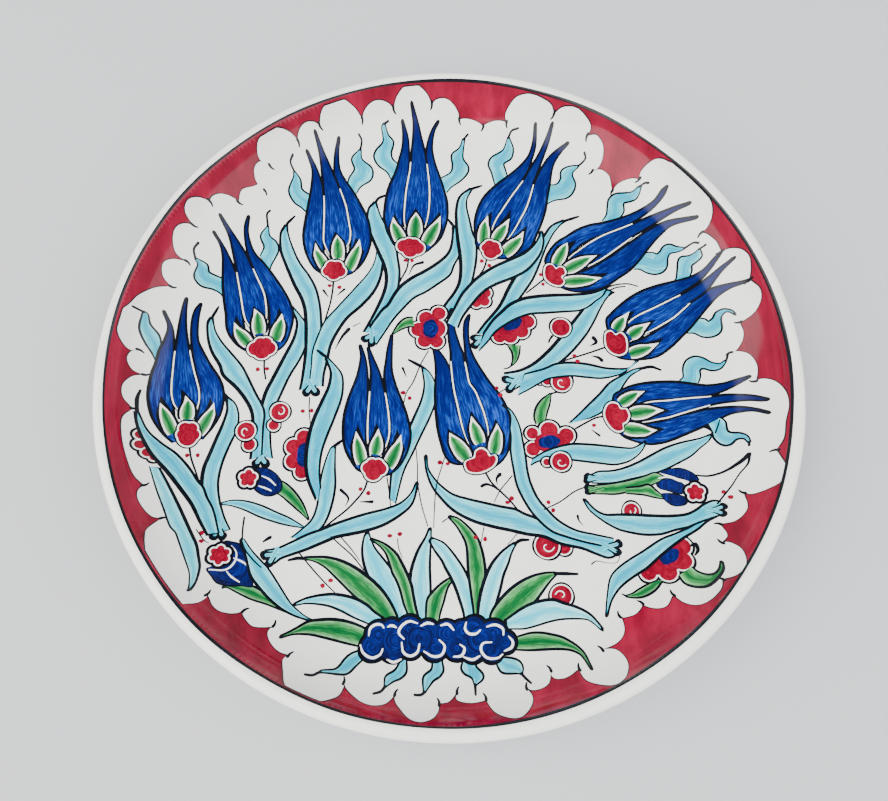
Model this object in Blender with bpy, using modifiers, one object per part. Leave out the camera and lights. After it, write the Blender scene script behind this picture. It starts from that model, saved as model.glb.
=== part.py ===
"""Hand painted ceramic plate, 300 mm across, with a rounded lip, a curved wall, a flat well and a turned foot ring.

The plate is one fired piece, built up in coats: a turned biscuit body, a white slip on the face, a clear glaze, the
colours of the painting as the outermost coat, and a glaze on the back that leaves the foot bare. Each coat and each
painted motif is its own solid. Every length below is in millimetres; MM turns it into metres. +Z is up, the foot stands on z = 0 and
the axis of the plate is the Z axis. The root of the painting, the rocks, lies towards -Y.
"""

import math

import bmesh
import bpy

MM = 0.001

# --- driving dimensions of the turned shape -------------------------------------------------
PLATE_RADIUS = 150.0
HEIGHT = 30.0
LIP_RADIUS = 3.2  # rounded lip, as a circle in section
LIP_R, LIP_Z = PLATE_RADIUS - LIP_RADIUS, HEIGHT - LIP_RADIUS
WELL_RADIUS = 111.6  # flat part of the face
WELL_Z = 8.5
WALL_ARC = 36.3  # radius of the curve from the well up to the lip
WALL_END = math.radians(62.9)  # slope where the curve meets the lip
BACK_Z = 3.0  # underside of the well
BACK_ARC = WALL_ARC + WELL_Z - BACK_Z
FOOT_OUT, FOOT_IN = 89.0, 84.0
FOOT_BEVEL = 0.8
STEPS = 48  # facets round the axis

# --- coats, as depths below the glazed surface; the painting stands on it, so its depths are negative ---
COAT = 0.3
GAP = 0.3
PAINT = (-COAT - GAP, -GAP)
GLAZE = (0.0, COAT)
SLIP = (COAT + GAP, 2 * COAT + GAP)
BODY_FACE = 2 * (COAT + GAP)
BODY_BACK = COAT + GAP

WALL_SLOPES = [math.radians(a) for a in (0, 15, 30, 46, 62.9)]
LIP_SLOPES = [math.radians(a) for a in (62.9, 34, 0, -30, -60, -90)]


def face_profile(depth, last_slope=-math.pi / 2):
    """Points (r, z) of the face at this depth, from the axis out over the lip to its outermost side."""
    points = [(0.0, WELL_Z - depth)]
    for a in WALL_SLOPES[:-1]:
        points.append(
            (WELL_RADIUS + (WALL_ARC + depth) * math.sin(a), WELL_Z + WALL_ARC - (WALL_ARC + depth) * math.cos(a))
        )
    for a in LIP_SLOPES:
        if a >= last_slope - 1e-9:
            points.append((LIP_R - (LIP_RADIUS - depth) * math.sin(a), LIP_Z + (LIP_RADIUS - depth) * math.cos(a)))
    return points


def back_profile(depth, foot_side, first=-8):
    """Points (r, z) of the back at this depth, from under the lip in to the foot ring's outer side."""
    points = []
    for a in (first, -35, -60):
        t = math.radians(a)
        points.append((LIP_R + (LIP_RADIUS - depth) * math.cos(t), LIP_Z + (LIP_RADIUS - depth) * math.sin(t)))
    for a in (54, 36, 18, 0):
        t = math.radians(a)
        points.append(
            (WELL_RADIUS + (BACK_ARC - depth) * math.sin(t), WELL_Z + WALL_ARC - (BACK_ARC - depth) * math.cos(t))
        )
    points.append((foot_side, BACK_Z + depth))
    return points


# --- scene ----------------------------------------------------------------------------------
for old in list(bpy.data.objects):
    bpy.data.objects.remove(old, do_unlink=True)
parts = bpy.data.collections.new("hand_painted_ceramic_plate")
bpy.context.scene.collection.children.link(parts)
bpy.context.scene.unit_settings.scale_length = 1.0

COLOURS = {
    "biscuit": ((0.80, 0.72, 0.62), 0.85),
    "slip": ((0.93, 0.92, 0.89), 0.60),
    "clear_glaze": ((0.95, 0.97, 0.97), 0.08),
    "back_glaze": ((0.91, 0.91, 0.89), 0.15),
    "black": ((0.020, 0.022, 0.028), 0.25),
    "coral_red": ((0.55, 0.012, 0.030), 0.22),
    "cobalt": ((0.012, 0.045, 0.36), 0.20),
    "turquoise": ((0.17, 0.58, 0.72), 0.18),
    "green": ((0.03, 0.27, 0.10), 0.20),
}
materials = {}
for title, (rgb, rough) in COLOURS.items():
    made = bpy.data.materials.new(title)
    made.use_nodes = True
    shader = made.node_tree.nodes["Principled BSDF"]
    shader.inputs["Base Color"].default_value = (*rgb, 1.0)
    shader.inputs["Roughness"].default_value = rough
    shader.inputs["Metallic"].default_value = 0.0
    if title == "clear_glaze":
        shader.inputs["Alpha"].default_value = 0.15
    made.diffuse_color = (*rgb, 1.0)
    materials[title] = made


def add(name, mesh, colour):
    obj = bpy.data.objects.new(name, mesh)
    parts.objects.link(obj)
    mesh.materials.clear()
    mesh.materials.append(materials[colour])
    return obj


# --- turned coats ---------------------------------------------------------------------------
def turned(name, profile, colour, closed=False):
    """A profile (r, z) turned about Z. It runs out over the top, down the outer side and back in."""
    mesh = bpy.data.meshes.new(name)
    edges = [(i, i + 1) for i in range(len(profile) - 1)]
    if closed:
        edges.append((len(profile) - 1, 0))
    mesh.from_pydata([(r * MM, 0.0, z * MM) for r, z in profile], edges, [])
    obj = add(name, mesh, colour)
    screw = obj.modifiers.new("turn", "SCREW")
    screw.axis = "Z"
    screw.angle = 2 * math.pi
    screw.steps = STEPS
    screw.render_steps = STEPS
    screw.use_smooth_shade = True
    screw.use_merge_vertices = True
    screw.merge_threshold = 0.00001
    return obj


foot = [
    (FOOT_OUT + 0.0, FOOT_BEVEL),
    (FOOT_OUT - FOOT_BEVEL, 0.0),
    (FOOT_IN + FOOT_BEVEL, 0.0),
    (FOOT_IN, FOOT_BEVEL),
    (FOOT_IN, BACK_Z + BODY_BACK),
    (0.0, BACK_Z + BODY_BACK),
]
ledge = [(LIP_R + LIP_RADIUS - BODY_FACE, LIP_Z - 0.35)]
turned("biscuit_body", face_profile(BODY_FACE) + ledge + back_profile(BODY_BACK, FOOT_OUT, -14) + foot, "biscuit")
turned("white_slip_face", face_profile(SLIP[0]) + face_profile(SLIP[1])[::-1], "slip")
turned("clear_glaze_face", face_profile(GLAZE[0]) + face_profile(GLAZE[1])[::-1], "clear_glaze")
turned(
    "back_glaze_outer",
    back_profile(0.0, FOOT_OUT + GAP) + back_profile(COAT, FOOT_OUT + GAP)[::-1],
    "back_glaze",
    closed=True,
)
turned(
    "back_glaze_centre",
    [(0.0, BACK_Z + COAT), (FOOT_IN - GAP, BACK_Z + COAT), (FOOT_IN - GAP, BACK_Z), (0.0, BACK_Z)],
    "back_glaze",
)


# --- painting: outlines drawn in plan, then laid on the dish ----------------------------------
def height(x, y, depth):
    """Height of the faceted dish at this plan point and depth. Each facet is straight between two turning steps."""
    r, a = math.hypot(x, y), math.atan2(y, x)
    step = 2 * math.pi / STEPS
    off = (a % step) - step / 2
    r = r * math.cos(off) / math.cos(step / 2)
    points = face_profile(depth)
    for (r0, z0), (r1, z1) in zip(points, points[1:]):
        if r <= r1:
            return z0 + (z1 - z0) * (r - r0) / (r1 - r0)
    return points[-1][1]


def spline(points, per=3):
    """A smooth line through the points (Catmull-Rom on every value they hold), as a list of tuples."""
    pts = [tuple(2 * a - b for a, b in zip(points[0], points[1]))] + list(points)
    pts.append(tuple(2 * a - b for a, b in zip(points[-1], points[-2])))
    out = []
    for p0, p1, p2, p3 in zip(pts, pts[1:], pts[2:], pts[3:]):
        for k in range(per):
            t = k / per
            out.append(
                tuple(
                    0.5 * (2 * b + (c - a) * t + (2 * a - 5 * b + 4 * c - d) * t * t + (3 * b - a - 3 * c + d) * t**3)
                    for a, b, c, d in zip(p0, p1, p2, p3)
                )
            )
    out.append(tuple(points[-1]))
    return out


def blade(points, per=3):
    """Closed outline of a brush shape: a spine of (x, y, half width), pointed where the half width is 0."""
    line = spline(points, per)
    left, right = [], []
    for i, (x, y, w) in enumerate(line):
        a, b = line[max(i - 1, 0)], line[min(i + 1, len(line) - 1)]
        n = math.hypot(b[0] - a[0], b[1] - a[1]) or 1.0
        nx, ny = -(b[1] - a[1]) / n, (b[0] - a[0]) / n
        w = max(w, 0.0)
        left.append((x + nx * w, y + ny * w))
        if w > 1e-6:
            right.append((x - nx * w, y - ny * w))
    return left + right[::-1]


def lobed(x, y, radius, lobes, depth=0.12, turn=0.0, squash=1.0, count=None):
    """Outline of a flower seen from above, with this many round lobes."""
    count = count or lobes * 6
    out = []
    for i in range(count):
        a = 2 * math.pi * i / count
        r = radius * (1 + depth * (2 * abs(math.cos(lobes * a / 2)) - 1))
        px, py = r * math.cos(a), r * math.sin(a) * squash
        out.append((x + px * math.cos(turn) - py * math.sin(turn), y + px * math.sin(turn) + py * math.cos(turn)))
    return out


def prism(outline, hole=None):
    """Mesh object of a flat outline, 10 mm thick and centred on z = 0."""
    curve = bpy.data.curves.new("outline", "CURVE")
    curve.dimensions = "2D"
    curve.fill_mode = "BOTH"
    curve.extrude = 5 * MM
    for ring in (outline, hole):
        if ring:
            line = curve.splines.new("POLY")
            line.points.add(len(ring) - 1)
            for point, (x, y) in zip(line.points, ring):
                point.co = (x * MM, y * MM, 0.0, 1.0)
            line.use_cyclic_u = True
    drawn = bpy.data.objects.new("outline", curve)
    parts.objects.link(drawn)
    graph = bpy.context.evaluated_depsgraph_get()
    mesh = bpy.data.meshes.new_from_object(drawn.evaluated_get(graph))
    bm = bmesh.new()
    bm.from_mesh(mesh)
    bmesh.ops.remove_doubles(bm, verts=bm.verts, dist=0.000001)
    bmesh.ops.recalc_face_normals(bm, faces=bm.faces)
    bm.to_mesh(mesh)
    bm.free()
    obj = bpy.data.objects.new("prism", mesh)
    parts.objects.link(obj)
    obj.matrix_world = drawn.matrix_world
    bpy.data.objects.remove(drawn, do_unlink=True)
    bpy.data.curves.remove(curve)
    return obj


def combine(base, others, operation):
    """The base prism joined with, or cut by, the others. The others are used up."""
    for other in others:
        tool = base.modifiers.new("join", "BOOLEAN")
        tool.operation = operation
        tool.solver = "EXACT"
        tool.object = other
        graph = bpy.context.evaluated_depsgraph_get()
        mesh = bpy.data.meshes.new_from_object(base.evaluated_get(graph))
        base.modifiers.clear()
        base.data = mesh
        bpy.data.objects.remove(other, do_unlink=True)
    return base


def cut(bm, faces, place, normal):
    """Cuts these faces along a vertical plane through a plan point."""
    geom = set(faces)
    for f in faces:
        geom.update(f.verts)
        geom.update(f.edges)
    if geom:
        bmesh.ops.bisect_plane(
            bm, geom=list(geom), dist=0.000002, plane_co=(place[0] * MM, place[1] * MM, 0.0), plane_no=(*normal, 0.0)
        )


def lay(base, name, colour):
    """Lays a flat prism on the dish as a coat of paint, its top at one depth and its bottom at another.

    On the wall it is first cut along the dish's own facets, so that each piece of it lies flat on one facet.
    """
    bm = bmesh.new()
    bm.from_mesh(base.data)
    bmesh.ops.remove_doubles(bm, verts=bm.verts, dist=0.00002)
    wide = 2 * math.pi / STEPS
    bends = [r * math.cos(wide / 2) for r, z in face_profile(PAINT[0])[1 : len(WALL_SLOPES)]]
    outer = [v.co for v in bm.verts if v.co.length > (bends[0] - 4) * MM]
    used = sorted({int(math.floor(math.atan2(co.y, co.x) / wide)) % STEPS for co in outer})
    used = sorted({(k + d) % STEPS for k in used for d in (-1, 0, 1)}) if used else []

    def middle(k):
        return (math.cos((k + 0.5) * wide), math.sin((k + 0.5) * wide))

    def in_step(f, k):
        """True where some of the face lies on facet k beyond the flat well."""
        ring = [v.co / MM for v in f.verts]
        low, high = k * wide, (k + 1) * wide
        sides = []
        for t, sign in ((low, 1), (high, -1)):
            sides.append(max(sign * (p.y * math.cos(t) - p.x * math.sin(t)) for p in ring))
        m = middle(k)
        return min(sides) > 0.01 and max(p.x * m[0] + p.y * m[1] for p in ring) > bends[0]

    def outside(f):
        """True for a face on the wall, beyond the flat well's edge."""
        c = f.calc_center_median() / MM
        k = math.floor(math.atan2(c.y, c.x) / wide)
        m = middle(k)
        return c.x * m[0] + c.y * m[1] > bends[0] - 0.01

    for k in used:
        m = middle(k)
        near = []
        for f in bm.faces:
            reach = [(v.co.x * m[0] + v.co.y * m[1]) / MM for v in f.verts]
            if min(reach) < bends[0] - 0.01 and max(reach) > bends[0] + 0.01 and in_step(f, k):
                near.append(f)
        cut(bm, near, (bends[0] * m[0], bends[0] * m[1]), m)
    for k in used:
        t = k * wide
        near = [f for f in bm.faces if outside(f) and f.calc_center_median().xy.dot((math.cos(t), math.sin(t))) > 0]
        cut(bm, near, (0.0, 0.0), (-math.sin(t), math.cos(t)))
    for k in used:
        m = middle(k)
        for bend in bends[1:]:
            near = []
            for f in bm.faces:
                c = f.calc_center_median()
                if math.floor(math.atan2(c.y, c.x) / wide) % STEPS == k and outside(f):
                    near.append(f)
            cut(bm, near, (bend * m[0], bend * m[1]), m)
    for v in bm.verts:
        x, y = v.co.x / MM, v.co.y / MM
        v.co.z = height(x, y, PAINT[0] if v.co.z > 0 else PAINT[1]) * MM
    bmesh.ops.triangulate(bm, faces=[f for f in bm.faces if len(f.verts) > 3])
    bmesh.ops.recalc_face_normals(bm, faces=bm.faces)
    mesh = bpy.data.meshes.new(name)
    bm.to_mesh(mesh)
    bm.free()
    bpy.data.objects.remove(base, do_unlink=True)
    return add(name, mesh, colour)


# rim line: a thin black band on the inner roll of the lip, one facet of its section wide
roll = len(WALL_SLOPES)
turned(
    "rim_line",
    face_profile(PAINT[0])[roll : roll + 2] + face_profile(PAINT[1])[roll : roll + 2][::-1],
    "black",
    closed=True,
)

# red border: from the rim line in to an edge of round cloud lobes, given by the cusps between them (bearing, radius)
BORDER_OUT = 142.7
CLOUD_TOP = 141.1
CUSPS = [
    (1, 130), (6.5, 130), (11.3, 133), (20.6, 138), (28.5, 136), (32.8, 127), (39, 124), (42, 132), (58.8, 135),
    (64, 132), (72, 137), (78.5, 133), (84, 129), (91, 132), (105, 137), (113, 133), (121, 132), (129, 137),
    (136, 131), (140.5, 126), (145.5, 125), (150, 131), (158, 134), (162, 130), (166, 134), (173, 135), (181, 136),
    (188.5, 135), (196.5, 134), (207, 134), (213, 128), (218, 130), (224, 134), (240, 134), (247.5, 135),
    (261, 136), (268, 133), (273, 134), (287, 130), (293, 130), (300, 136), (305.5, 136), (310, 130), (316, 128),
    (319.5, 134), (327.5, 135), (333.5, 135), (341.5, 134), (348, 135), (355.5, 136),
]


def bearing(degrees, r):
    """Plan point at this bearing, clockwise from +Y, and radius."""
    a = math.radians(degrees)
    return (r * math.sin(a), r * math.cos(a))


def cloud_edge(per=4):
    out = []
    for (a0, r0), (a1, r1) in zip(CUSPS, CUSPS[1:] + [(CUSPS[0][0] + 360, CUSPS[0][1])]):
        width = math.radians(a1 - a0) * 135
        bulge = 0.5 * width
        for k in range(per):
            t = k / per
            rise = bulge * math.sqrt(max(0.0, 1 - (2 * t - 1) ** 2))
            out.append(bearing(a0 + (a1 - a0) * t, min(r0 + (r1 - r0) * t + rise, CLOUD_TOP)))
    return out


rim = [bearing(360 * i / 96, BORDER_OUT) for i in range(96)]
lay(prism(rim, cloud_edge()), "red_border", "coral_red")

# tulips: cup centre, point of the middle petal, points of the left and right petals, width factor
TULIPS = [
    ((-114.0, -28.0), (-114.5, 31.0), (-126.5, 27.0), (-108.5, 24.0), 0.78),
    ((-86.0, 13.3), (-108.0, 74.0), (-112.0, 66.0), (-97.5, 74.0), 0.95),
    ((-55.0, 52.8), (-65.5, 119.0), (-70.0, 110.0), (-56.5, 119.0), 0.95),
    ((-19.5, 65.0), (-20.3, 134.0), (-25.5, 128.0), (-9.0, 130.0), 0.88),
    ((18.8, 65.0), (47.0, 126.5), (40.0, 127.5), (55.0, 118.5), 0.95),
    ((48.5, 53.3), (109.0, 84.0), (101.0, 92.0), (112.0, 76.5), 0.95),
    ((75.5, 18.3), (125.0, 54.5), (117.0, 57.5), (128.0, 44.0), 0.95),
    ((74.5, -16.8), (135.0, -10.0), (127.5, -1.5), (134.5, -17.5), 0.95),
    ((-32.5, -41.8), (-34.0, 9.5), (-39.5, 8.5), (-26.5, 8.5), 0.86),
    ((14.8, -36.8), (0.5, 16.0), (-6.5, 10.0), (7.0, 14.0), 0.78),
]
PETAL_SIDE = [(3.0, 9.2, 0.6), (11.0, 10.4, 3.6), (24.0, 8.6, 5.8), (38.0, 6.2, 4.4)]
PETAL_MIDDLE = [(11.0, 0.0, 1.2), (24.0, 0.0, 5.4), (38.0, 0.0, 3.8)]


def tulip(number, cup, middle, left, right, wide):
    length = math.dist(cup, middle)
    ux, uy = (middle[0] - cup[0]) / length, (middle[1] - cup[1]) / length
    vx, vy = -uy, ux
    long = length / 62.0

    def at(u, v):
        return (cup[0] + ux * u + vx * v, cup[1] + uy * u + vy * v)

    def local(p):
        return ((p[0] - cup[0]) * ux + (p[1] - cup[1]) * uy, (p[0] - cup[0]) * vx + (p[1] - cup[1]) * vy)

    petals = []
    for side, point in ((1, left), (0, middle), (-1, right)):
        rows = PETAL_MIDDLE if side == 0 else PETAL_SIDE
        tip = local(point)
        line = [(u * long, v * side * wide, w * wide) for u, v, w in rows]
        end_u, end_v = line[-1][0], line[-1][1]
        line.append((0.5 * (end_u + tip[0]), 0.55 * end_v + 0.45 * tip[1], 1.9 * wide))
        line.append((tip[0], tip[1], 0.0))
        petals.append(prism(blade([(*at(u, v), w) for u, v, w in line])))
    sepal_tips = ((34.0, 20.0 * long), (0.0, 21.5 * long), (-34.0, 20.0 * long))

    def fan(grow):
        """The three sepals, fanned out from a short collar over the cup."""
        found = []
        for degrees, reach in sepal_tips:
            a = math.radians(degrees)
            c, s = math.cos(a), math.sin(a) * wide
            rows = ((6.6 - grow, 0.7 + grow), (9.5, 1.6 + grow), (14.0, 2.1 + grow), (reach + grow, 0.0 + 0.5 * grow))
            found.append(prism(blade([(*at(c * u, s * u), w) for u, w in rows])))
        collar = [
            (*at(7.2 * math.cos(a), 7.2 * math.sin(a) * wide), 0.75 + grow)
            for a in (math.radians(d) for d in (-40, -20, 0, 20, 40))
        ]
        found.append(prism(blade(collar, per=1)))
        return found

    crown = combine(petals[1], [petals[0], petals[2]], "UNION")
    crown = combine(crown, fan(0.55), "DIFFERENCE")
    lay(crown, f"tulip_{number:02d}_petals", "cobalt")
    green = fan(0.0)
    lay(combine(green[0], green[1:], "UNION"), f"tulip_{number:02d}_sepals", "green")
    turn = math.atan2(uy, ux) + math.pi
    lay(prism(lobed(*at(-0.4, 0.0), 5.0, 3, 0.10, turn, count=18)), f"tulip_{number:02d}_cup", "coral_red")


for number, (cup, middle, left, right, wide) in enumerate(TULIPS, 1):
    tulip(number, cup, middle, left, right, wide)

# leaf pairs: two long leaves that leave one stem end. Each spine is (x, y, half width)
LEAF_PAIRS = [
    ([(-93.3, -73, 2.0), (-98, -56, 2.6), (-112, -42, 3.0), (-124, -32, 2.0), (-132, -23, 0)],
     [(-93.3, -73, 2.0), (-98, -54, 2.6), (-100.5, -38, 3.0), (-97, -22, 2.2), (-98.5, -10, 0)]),
    ([(-81, -41.5, 2.0), (-81.5, -18, 2.5), (-92, -2, 2.6), (-101, 8, 1.8), (-106.5, 18, 0)],
     [(-81, -41.5, 2.0), (-80, -16, 2.5), (-72, 3, 3.0), (-68.5, 16, 2.0), (-71, 28, 0)]),
    ([(-61.5, -8, 2.0), (-61.5, 10, 2.5), (-66, 28, 3.2), (-74, 52, 2.8), (-79.5, 76, 0)],
     [(-61.5, -8, 2.0), (-60.5, 10, 2.5), (-54, 27, 3.2), (-43.5, 43, 2.8), (-38.8, 60, 0)]),
    ([(-37.8, 15.5, 2.0), (-33, 31, 2.5), (-30.3, 50, 2.8), (-35.3, 70, 2.2), (-40.5, 88, 0)],
     [(-37.8, 15.5, 2.0), (-31.5, 30, 2.5), (-18, 44, 3.0), (-6, 54, 2.6), (-1.5, 67, 0)]),
    ([(-3.3, 22, 2.0), (0, 38, 2.4), (3.5, 56, 3.0), (4.5, 76, 2.6), (8, 96, 0)],
     [(-3.3, 22, 2.0), (1, 37, 2.4), (10, 46, 2.6), (20, 51.5, 2.2), (30, 58, 0)]),
    ([(11.8, 15.8, 2.0), (21, 34, 2.5), (35, 52, 2.6), (44.5, 68, 2.2), (55, 82, 0)],
     [(11.8, 15.8, 2.0), (19, 30, 2.3), (31, 37.8, 2.5), (48, 39.2, 2.8), (64, 40, 2.2), (78, 44, 0)]),
    ([(26, -6.8, 2.0), (43, 7, 2.6), (56, 21, 2.8), (66, 35, 0)],
     [(26, -6.8, 2.0), (43, 4, 2.6), (58, 3, 3.0), (76, 4.5, 2.2), (94, 7, 0)]),
    ([(60.5, -46.8, 2.0), (75, -44, 2.8), (98, -36, 2.6), (113, -25, 0)], None),
    ([(-72.5, -81.8, 2.0), (-60, -66, 2.6), (-52.5, -43, 3.0), (-53.5, -18, 2.4), (-50, 4, 0)],
     [(-72.5, -81.8, 2.0), (-58, -69, 2.4), (-36, -63, 2.8), (-20, -56, 2.2), (-13.5, -42, 0)]),
    ([(69.3, -74.3, 2.0), (52, -69, 2.6), (38.5, -52, 3.0), (31, -32, 2.2), (28, -14, 0)],
     [(69.3, -74.3, 2.0), (50, -71, 2.4), (22, -62, 3.0), (2, -54, 2.2), (-5, -40, 0)]),
    ([(112, -58, 1.8), (95, -64.5, 2.6), (76, -60.5, 2.2), (63, -54, 0)],
     [(112, -58, 1.8), (98, -67, 2.2), (82, -78, 2.0), (71, -92, 0)]),
]
for number, (one, other) in enumerate(LEAF_PAIRS, 1):
    shape = prism(blade(one))
    if other:
        shape = combine(shape, [prism(blade(other))], "UNION")
    lay(shape, f"leaf_pair_{number:02d}", "turquoise")

# rosettes: centre, radius, turn
ROSETTES = [(-14.0, 25.5, 6.0, 0.2), (30.0, 23.3, 7.6, 0.1), (-65.0, -36.5, 7.0, 0.4), (45.0, -26.5, 8.0, 0.0), (98.0, -80.5, 5.8, 0.3)]
for number, (x, y, radius, turn) in enumerate(ROSETTES, 1):
    eye = [(x + 0.42 * radius * math.cos(2 * math.pi * i / 10), y + 0.42 * radius * math.sin(2 * math.pi * i / 10)) for i in range(10)]
    lay(prism(lobed(x, y, radius, 6, 0.09, turn, count=30), eye), f"rosette_{number}_petals", "coral_red")

# buds, each one closed body of cobalt
BUDS = [
    [(-96.5, -79.5, 1.2), (-90, -85, 4.8), (-81, -92.5, 0.6)],
    [(-87.5, -47.5, 1.2), (-80.5, -52.5, 4.6), (-71.5, -57.5, 0.6)],
    [(86.5, -46.0, 0.6), (96.5, -47.5, 4.4), (105.5, -49.5, 1.2)],
]
for number, line in enumerate(BUDS, 1):
    lay(prism(blade(line, per=5)), f"bud_{number}", "cobalt")

# rocks at the root of the painting, with grass over them and roots under them
rock = []
for i in range(56):
    a = 2 * math.pi * i / 56
    swell = 1 + 0.10 * abs(math.sin(7 * a))
    rock.append((-3.0 + 27.5 * swell * math.cos(a), -112.0 + 6.6 * swell * math.sin(a)))
lay(prism(rock), "rocks", "cobalt")

GRASS = [
    [(-24, -102.6, 0.8), (17, -102.6, 0.8)],
    [(-21, -102, 1.2), (-33, -91, 3.0), (-45, -84, 2.2), (-57, -80.5, 0)],
    [(-11, -102, 1.2), (-15, -88, 2.2), (-25, -73.5, 0)],
    [(-4, -102, 1.2), (-4, -85, 2.2), (-9, -68.5, 0)],
    [(5, -102, 1.2), (9.5, -84, 2.8), (0.5, -62, 0)],
    [(14, -102, 1.2), (27, -92, 3.0), (39, -87, 2.0), (52, -83.5, 0)],
]
tufts = [prism(blade(line, per=1 if len(line) == 2 else 3)) for line in GRASS]
lay(combine(tufts[0], tufts[1:], "UNION"), "grass", "green")

ROOTS = [
    [(-20, -121.4, 0.7), (13, -121.4, 0.7)],
    [(-19, -121.6, 1.0), (-25, -124, 1.4), (-31, -123.5, 1.0), (-38, -127, 0)],
    [(-11, -121.6, 1.0), (-12, -126, 1.4), (-17, -131, 0)],
    [(4, -121.6, 1.0), (5, -126, 1.4), (11, -131, 0)],
    [(12, -121.6, 1.0), (18, -124, 1.4), (23, -123.5, 1.0), (28, -127, 0)],
]
tails = [prism(blade(line, per=1 if len(line) == 2 else 3)) for line in ROOTS]
lay(combine(tails[0], tails[1:], "UNION"), "roots", "turquoise")
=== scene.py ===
"""Hand painted ceramic plate: the painted dish face, the glazed lip and back, and the bare foot ring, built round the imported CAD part.

The painting is laid out in the plan, in millimetres, as brush strokes in painter's order: red ring, white cloud, leaves, tulips, rosettes and small strokes.
One constrained triangulation holds every outline, each triangle takes the topmost stroke over it, and the whole sheet is then lifted onto the dish's profile."""
import math

import bpy
import numpy as np
from mathutils import Matrix, Vector
from mathutils.geometry import delaunay_2d_cdt


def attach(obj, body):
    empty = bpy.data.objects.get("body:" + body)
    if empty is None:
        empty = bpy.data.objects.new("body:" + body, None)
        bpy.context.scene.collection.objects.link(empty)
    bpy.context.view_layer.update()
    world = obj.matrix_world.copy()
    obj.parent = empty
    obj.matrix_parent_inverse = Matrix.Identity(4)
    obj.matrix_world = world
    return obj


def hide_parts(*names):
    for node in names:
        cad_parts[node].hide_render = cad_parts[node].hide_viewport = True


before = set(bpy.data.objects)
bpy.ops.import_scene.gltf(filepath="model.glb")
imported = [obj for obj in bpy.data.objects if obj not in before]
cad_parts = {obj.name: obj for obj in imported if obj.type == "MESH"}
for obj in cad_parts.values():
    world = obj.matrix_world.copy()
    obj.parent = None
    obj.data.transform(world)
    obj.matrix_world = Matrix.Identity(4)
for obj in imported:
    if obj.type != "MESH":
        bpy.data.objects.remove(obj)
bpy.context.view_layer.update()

MM = 0.001
RNG = np.random.default_rng(11)

# ---------------------------------------------------------------- the dish
FLAT_R, FLAT_Z = 111.6, 8.5
ARC_R, ARC_C = 36.3, (111.6, 44.8)
ARC_END = math.radians(62.9)
LIP_C, LIP_R = (146.8, 26.8), 3.2
CREST = LIP_C[0]
JOIN = ARC_C[0] + ARC_R * math.sin(ARC_END)


def face_z(r):
    """Height of the glazed face and its slope, out to the crest of the lip."""
    r = np.asarray(r, float)
    z = np.full_like(r, FLAT_Z)
    slope = np.zeros_like(r)
    arc = (r > FLAT_R) & (r <= JOIN)
    d = np.clip((r - ARC_C[0]) / ARC_R, 0, 0.95)
    z = np.where(arc, ARC_C[1] - ARC_R * np.sqrt(1 - d * d), z)
    slope = np.where(arc, d / np.sqrt(1 - d * d), slope)
    lip = r > JOIN
    e = np.clip((LIP_C[0] - r) / LIP_R, -0.999, 0.999)
    z = np.where(lip, LIP_C[1] + LIP_R * np.sqrt(1 - e * e), z)
    slope = np.where(lip, e / np.sqrt(1 - e * e), slope)
    return z, slope


# ---------------------------------------------------------------- curves
def P(text):
    """Points written as 'x,y x,y ...'."""
    return np.array([[float(v) for v in pair.split(",")] for pair in text.split()])


def curve(points, step=1.0, closed=False):
    """Catmull-Rom curve through the points, cut at even steps."""
    p = np.asarray(points, float)
    if len(p) < 3 and not closed:
        n = max(2, int(np.linalg.norm(p[-1] - p[0]) / step) + 1)
        return p[0] + (p[-1] - p[0]) * np.linspace(0, 1, n)[:, None]
    if closed:
        q = np.vstack([p[-1], p, p[0], p[1]])
    else:
        q = np.vstack([2 * p[0] - p[1], p, 2 * p[-1] - p[-2]])
    out = []
    for i in range(1, len(q) - 2):
        a, b, c, d = q[i - 1], q[i], q[i + 1], q[i + 2]
        t = np.linspace(0, 1, 13)[:-1, None]
        out.append(0.5 * (2 * b + (c - a) * t + (2 * a - 5 * b + 4 * c - d) * t ** 2 + (3 * b - a - 3 * c + d) * t ** 3))
    out = np.vstack(out + [q[-2][None]])
    seg = np.linalg.norm(np.diff(out, axis=0), axis=1)
    s = np.concatenate([[0], np.cumsum(seg)])
    n = max(3, int(round(s[-1] / step)) + 1)
    at = np.linspace(0, s[-1], n)
    return np.stack([np.interp(at, s, out[:, 0]), np.interp(at, s, out[:, 1])], axis=1)


def resample(p, n):
    seg = np.linalg.norm(np.diff(p, axis=0), axis=1)
    s = np.concatenate([[0], np.cumsum(seg)])
    at = np.linspace(0, s[-1], n)
    return np.stack([np.interp(at, s, p[:, 0]), np.interp(at, s, p[:, 1])], axis=1)


def normals(p):
    t = np.gradient(p, axis=0)
    t /= np.linalg.norm(t, axis=1)[:, None] + 1e-9
    return np.stack([-t[:, 1], t[:, 0]], axis=1)


# ---------------------------------------------------------------- painted elements
ELEMENTS = []
PIECES = {}  # piece name -> (material, CAD nodes it stands for)


def piece(name, material, *nodes):
    PIECES.setdefault(name, (material, set()))[1].update(nodes)
    return name


def put(name, outline, mid=None, half=None, centre=None, radius=None, seed=None):
    """One painted patch, with what its brush marks run along: a spine, or a centre."""
    ELEMENTS.append({
        "piece": name, "outline": np.asarray(outline, float), "mid": mid, "half": half,
        "centre": centre, "radius": radius,
        "seed": float(RNG.uniform(0, 50)) if seed is None else seed,
    })


def strip(name, left, right, step=1.0, seed=None):
    """A patch between two edges that run from its base to its tip."""
    a, b = curve(left, step), curve(right, step)
    n = max(len(a), len(b))
    a, b = resample(a, n), resample(b, n)
    put(name, np.vstack([a, b[::-1]]), mid=(a + b) / 2, half=(a - b) / 2, seed=seed)
    return a, b


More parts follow.
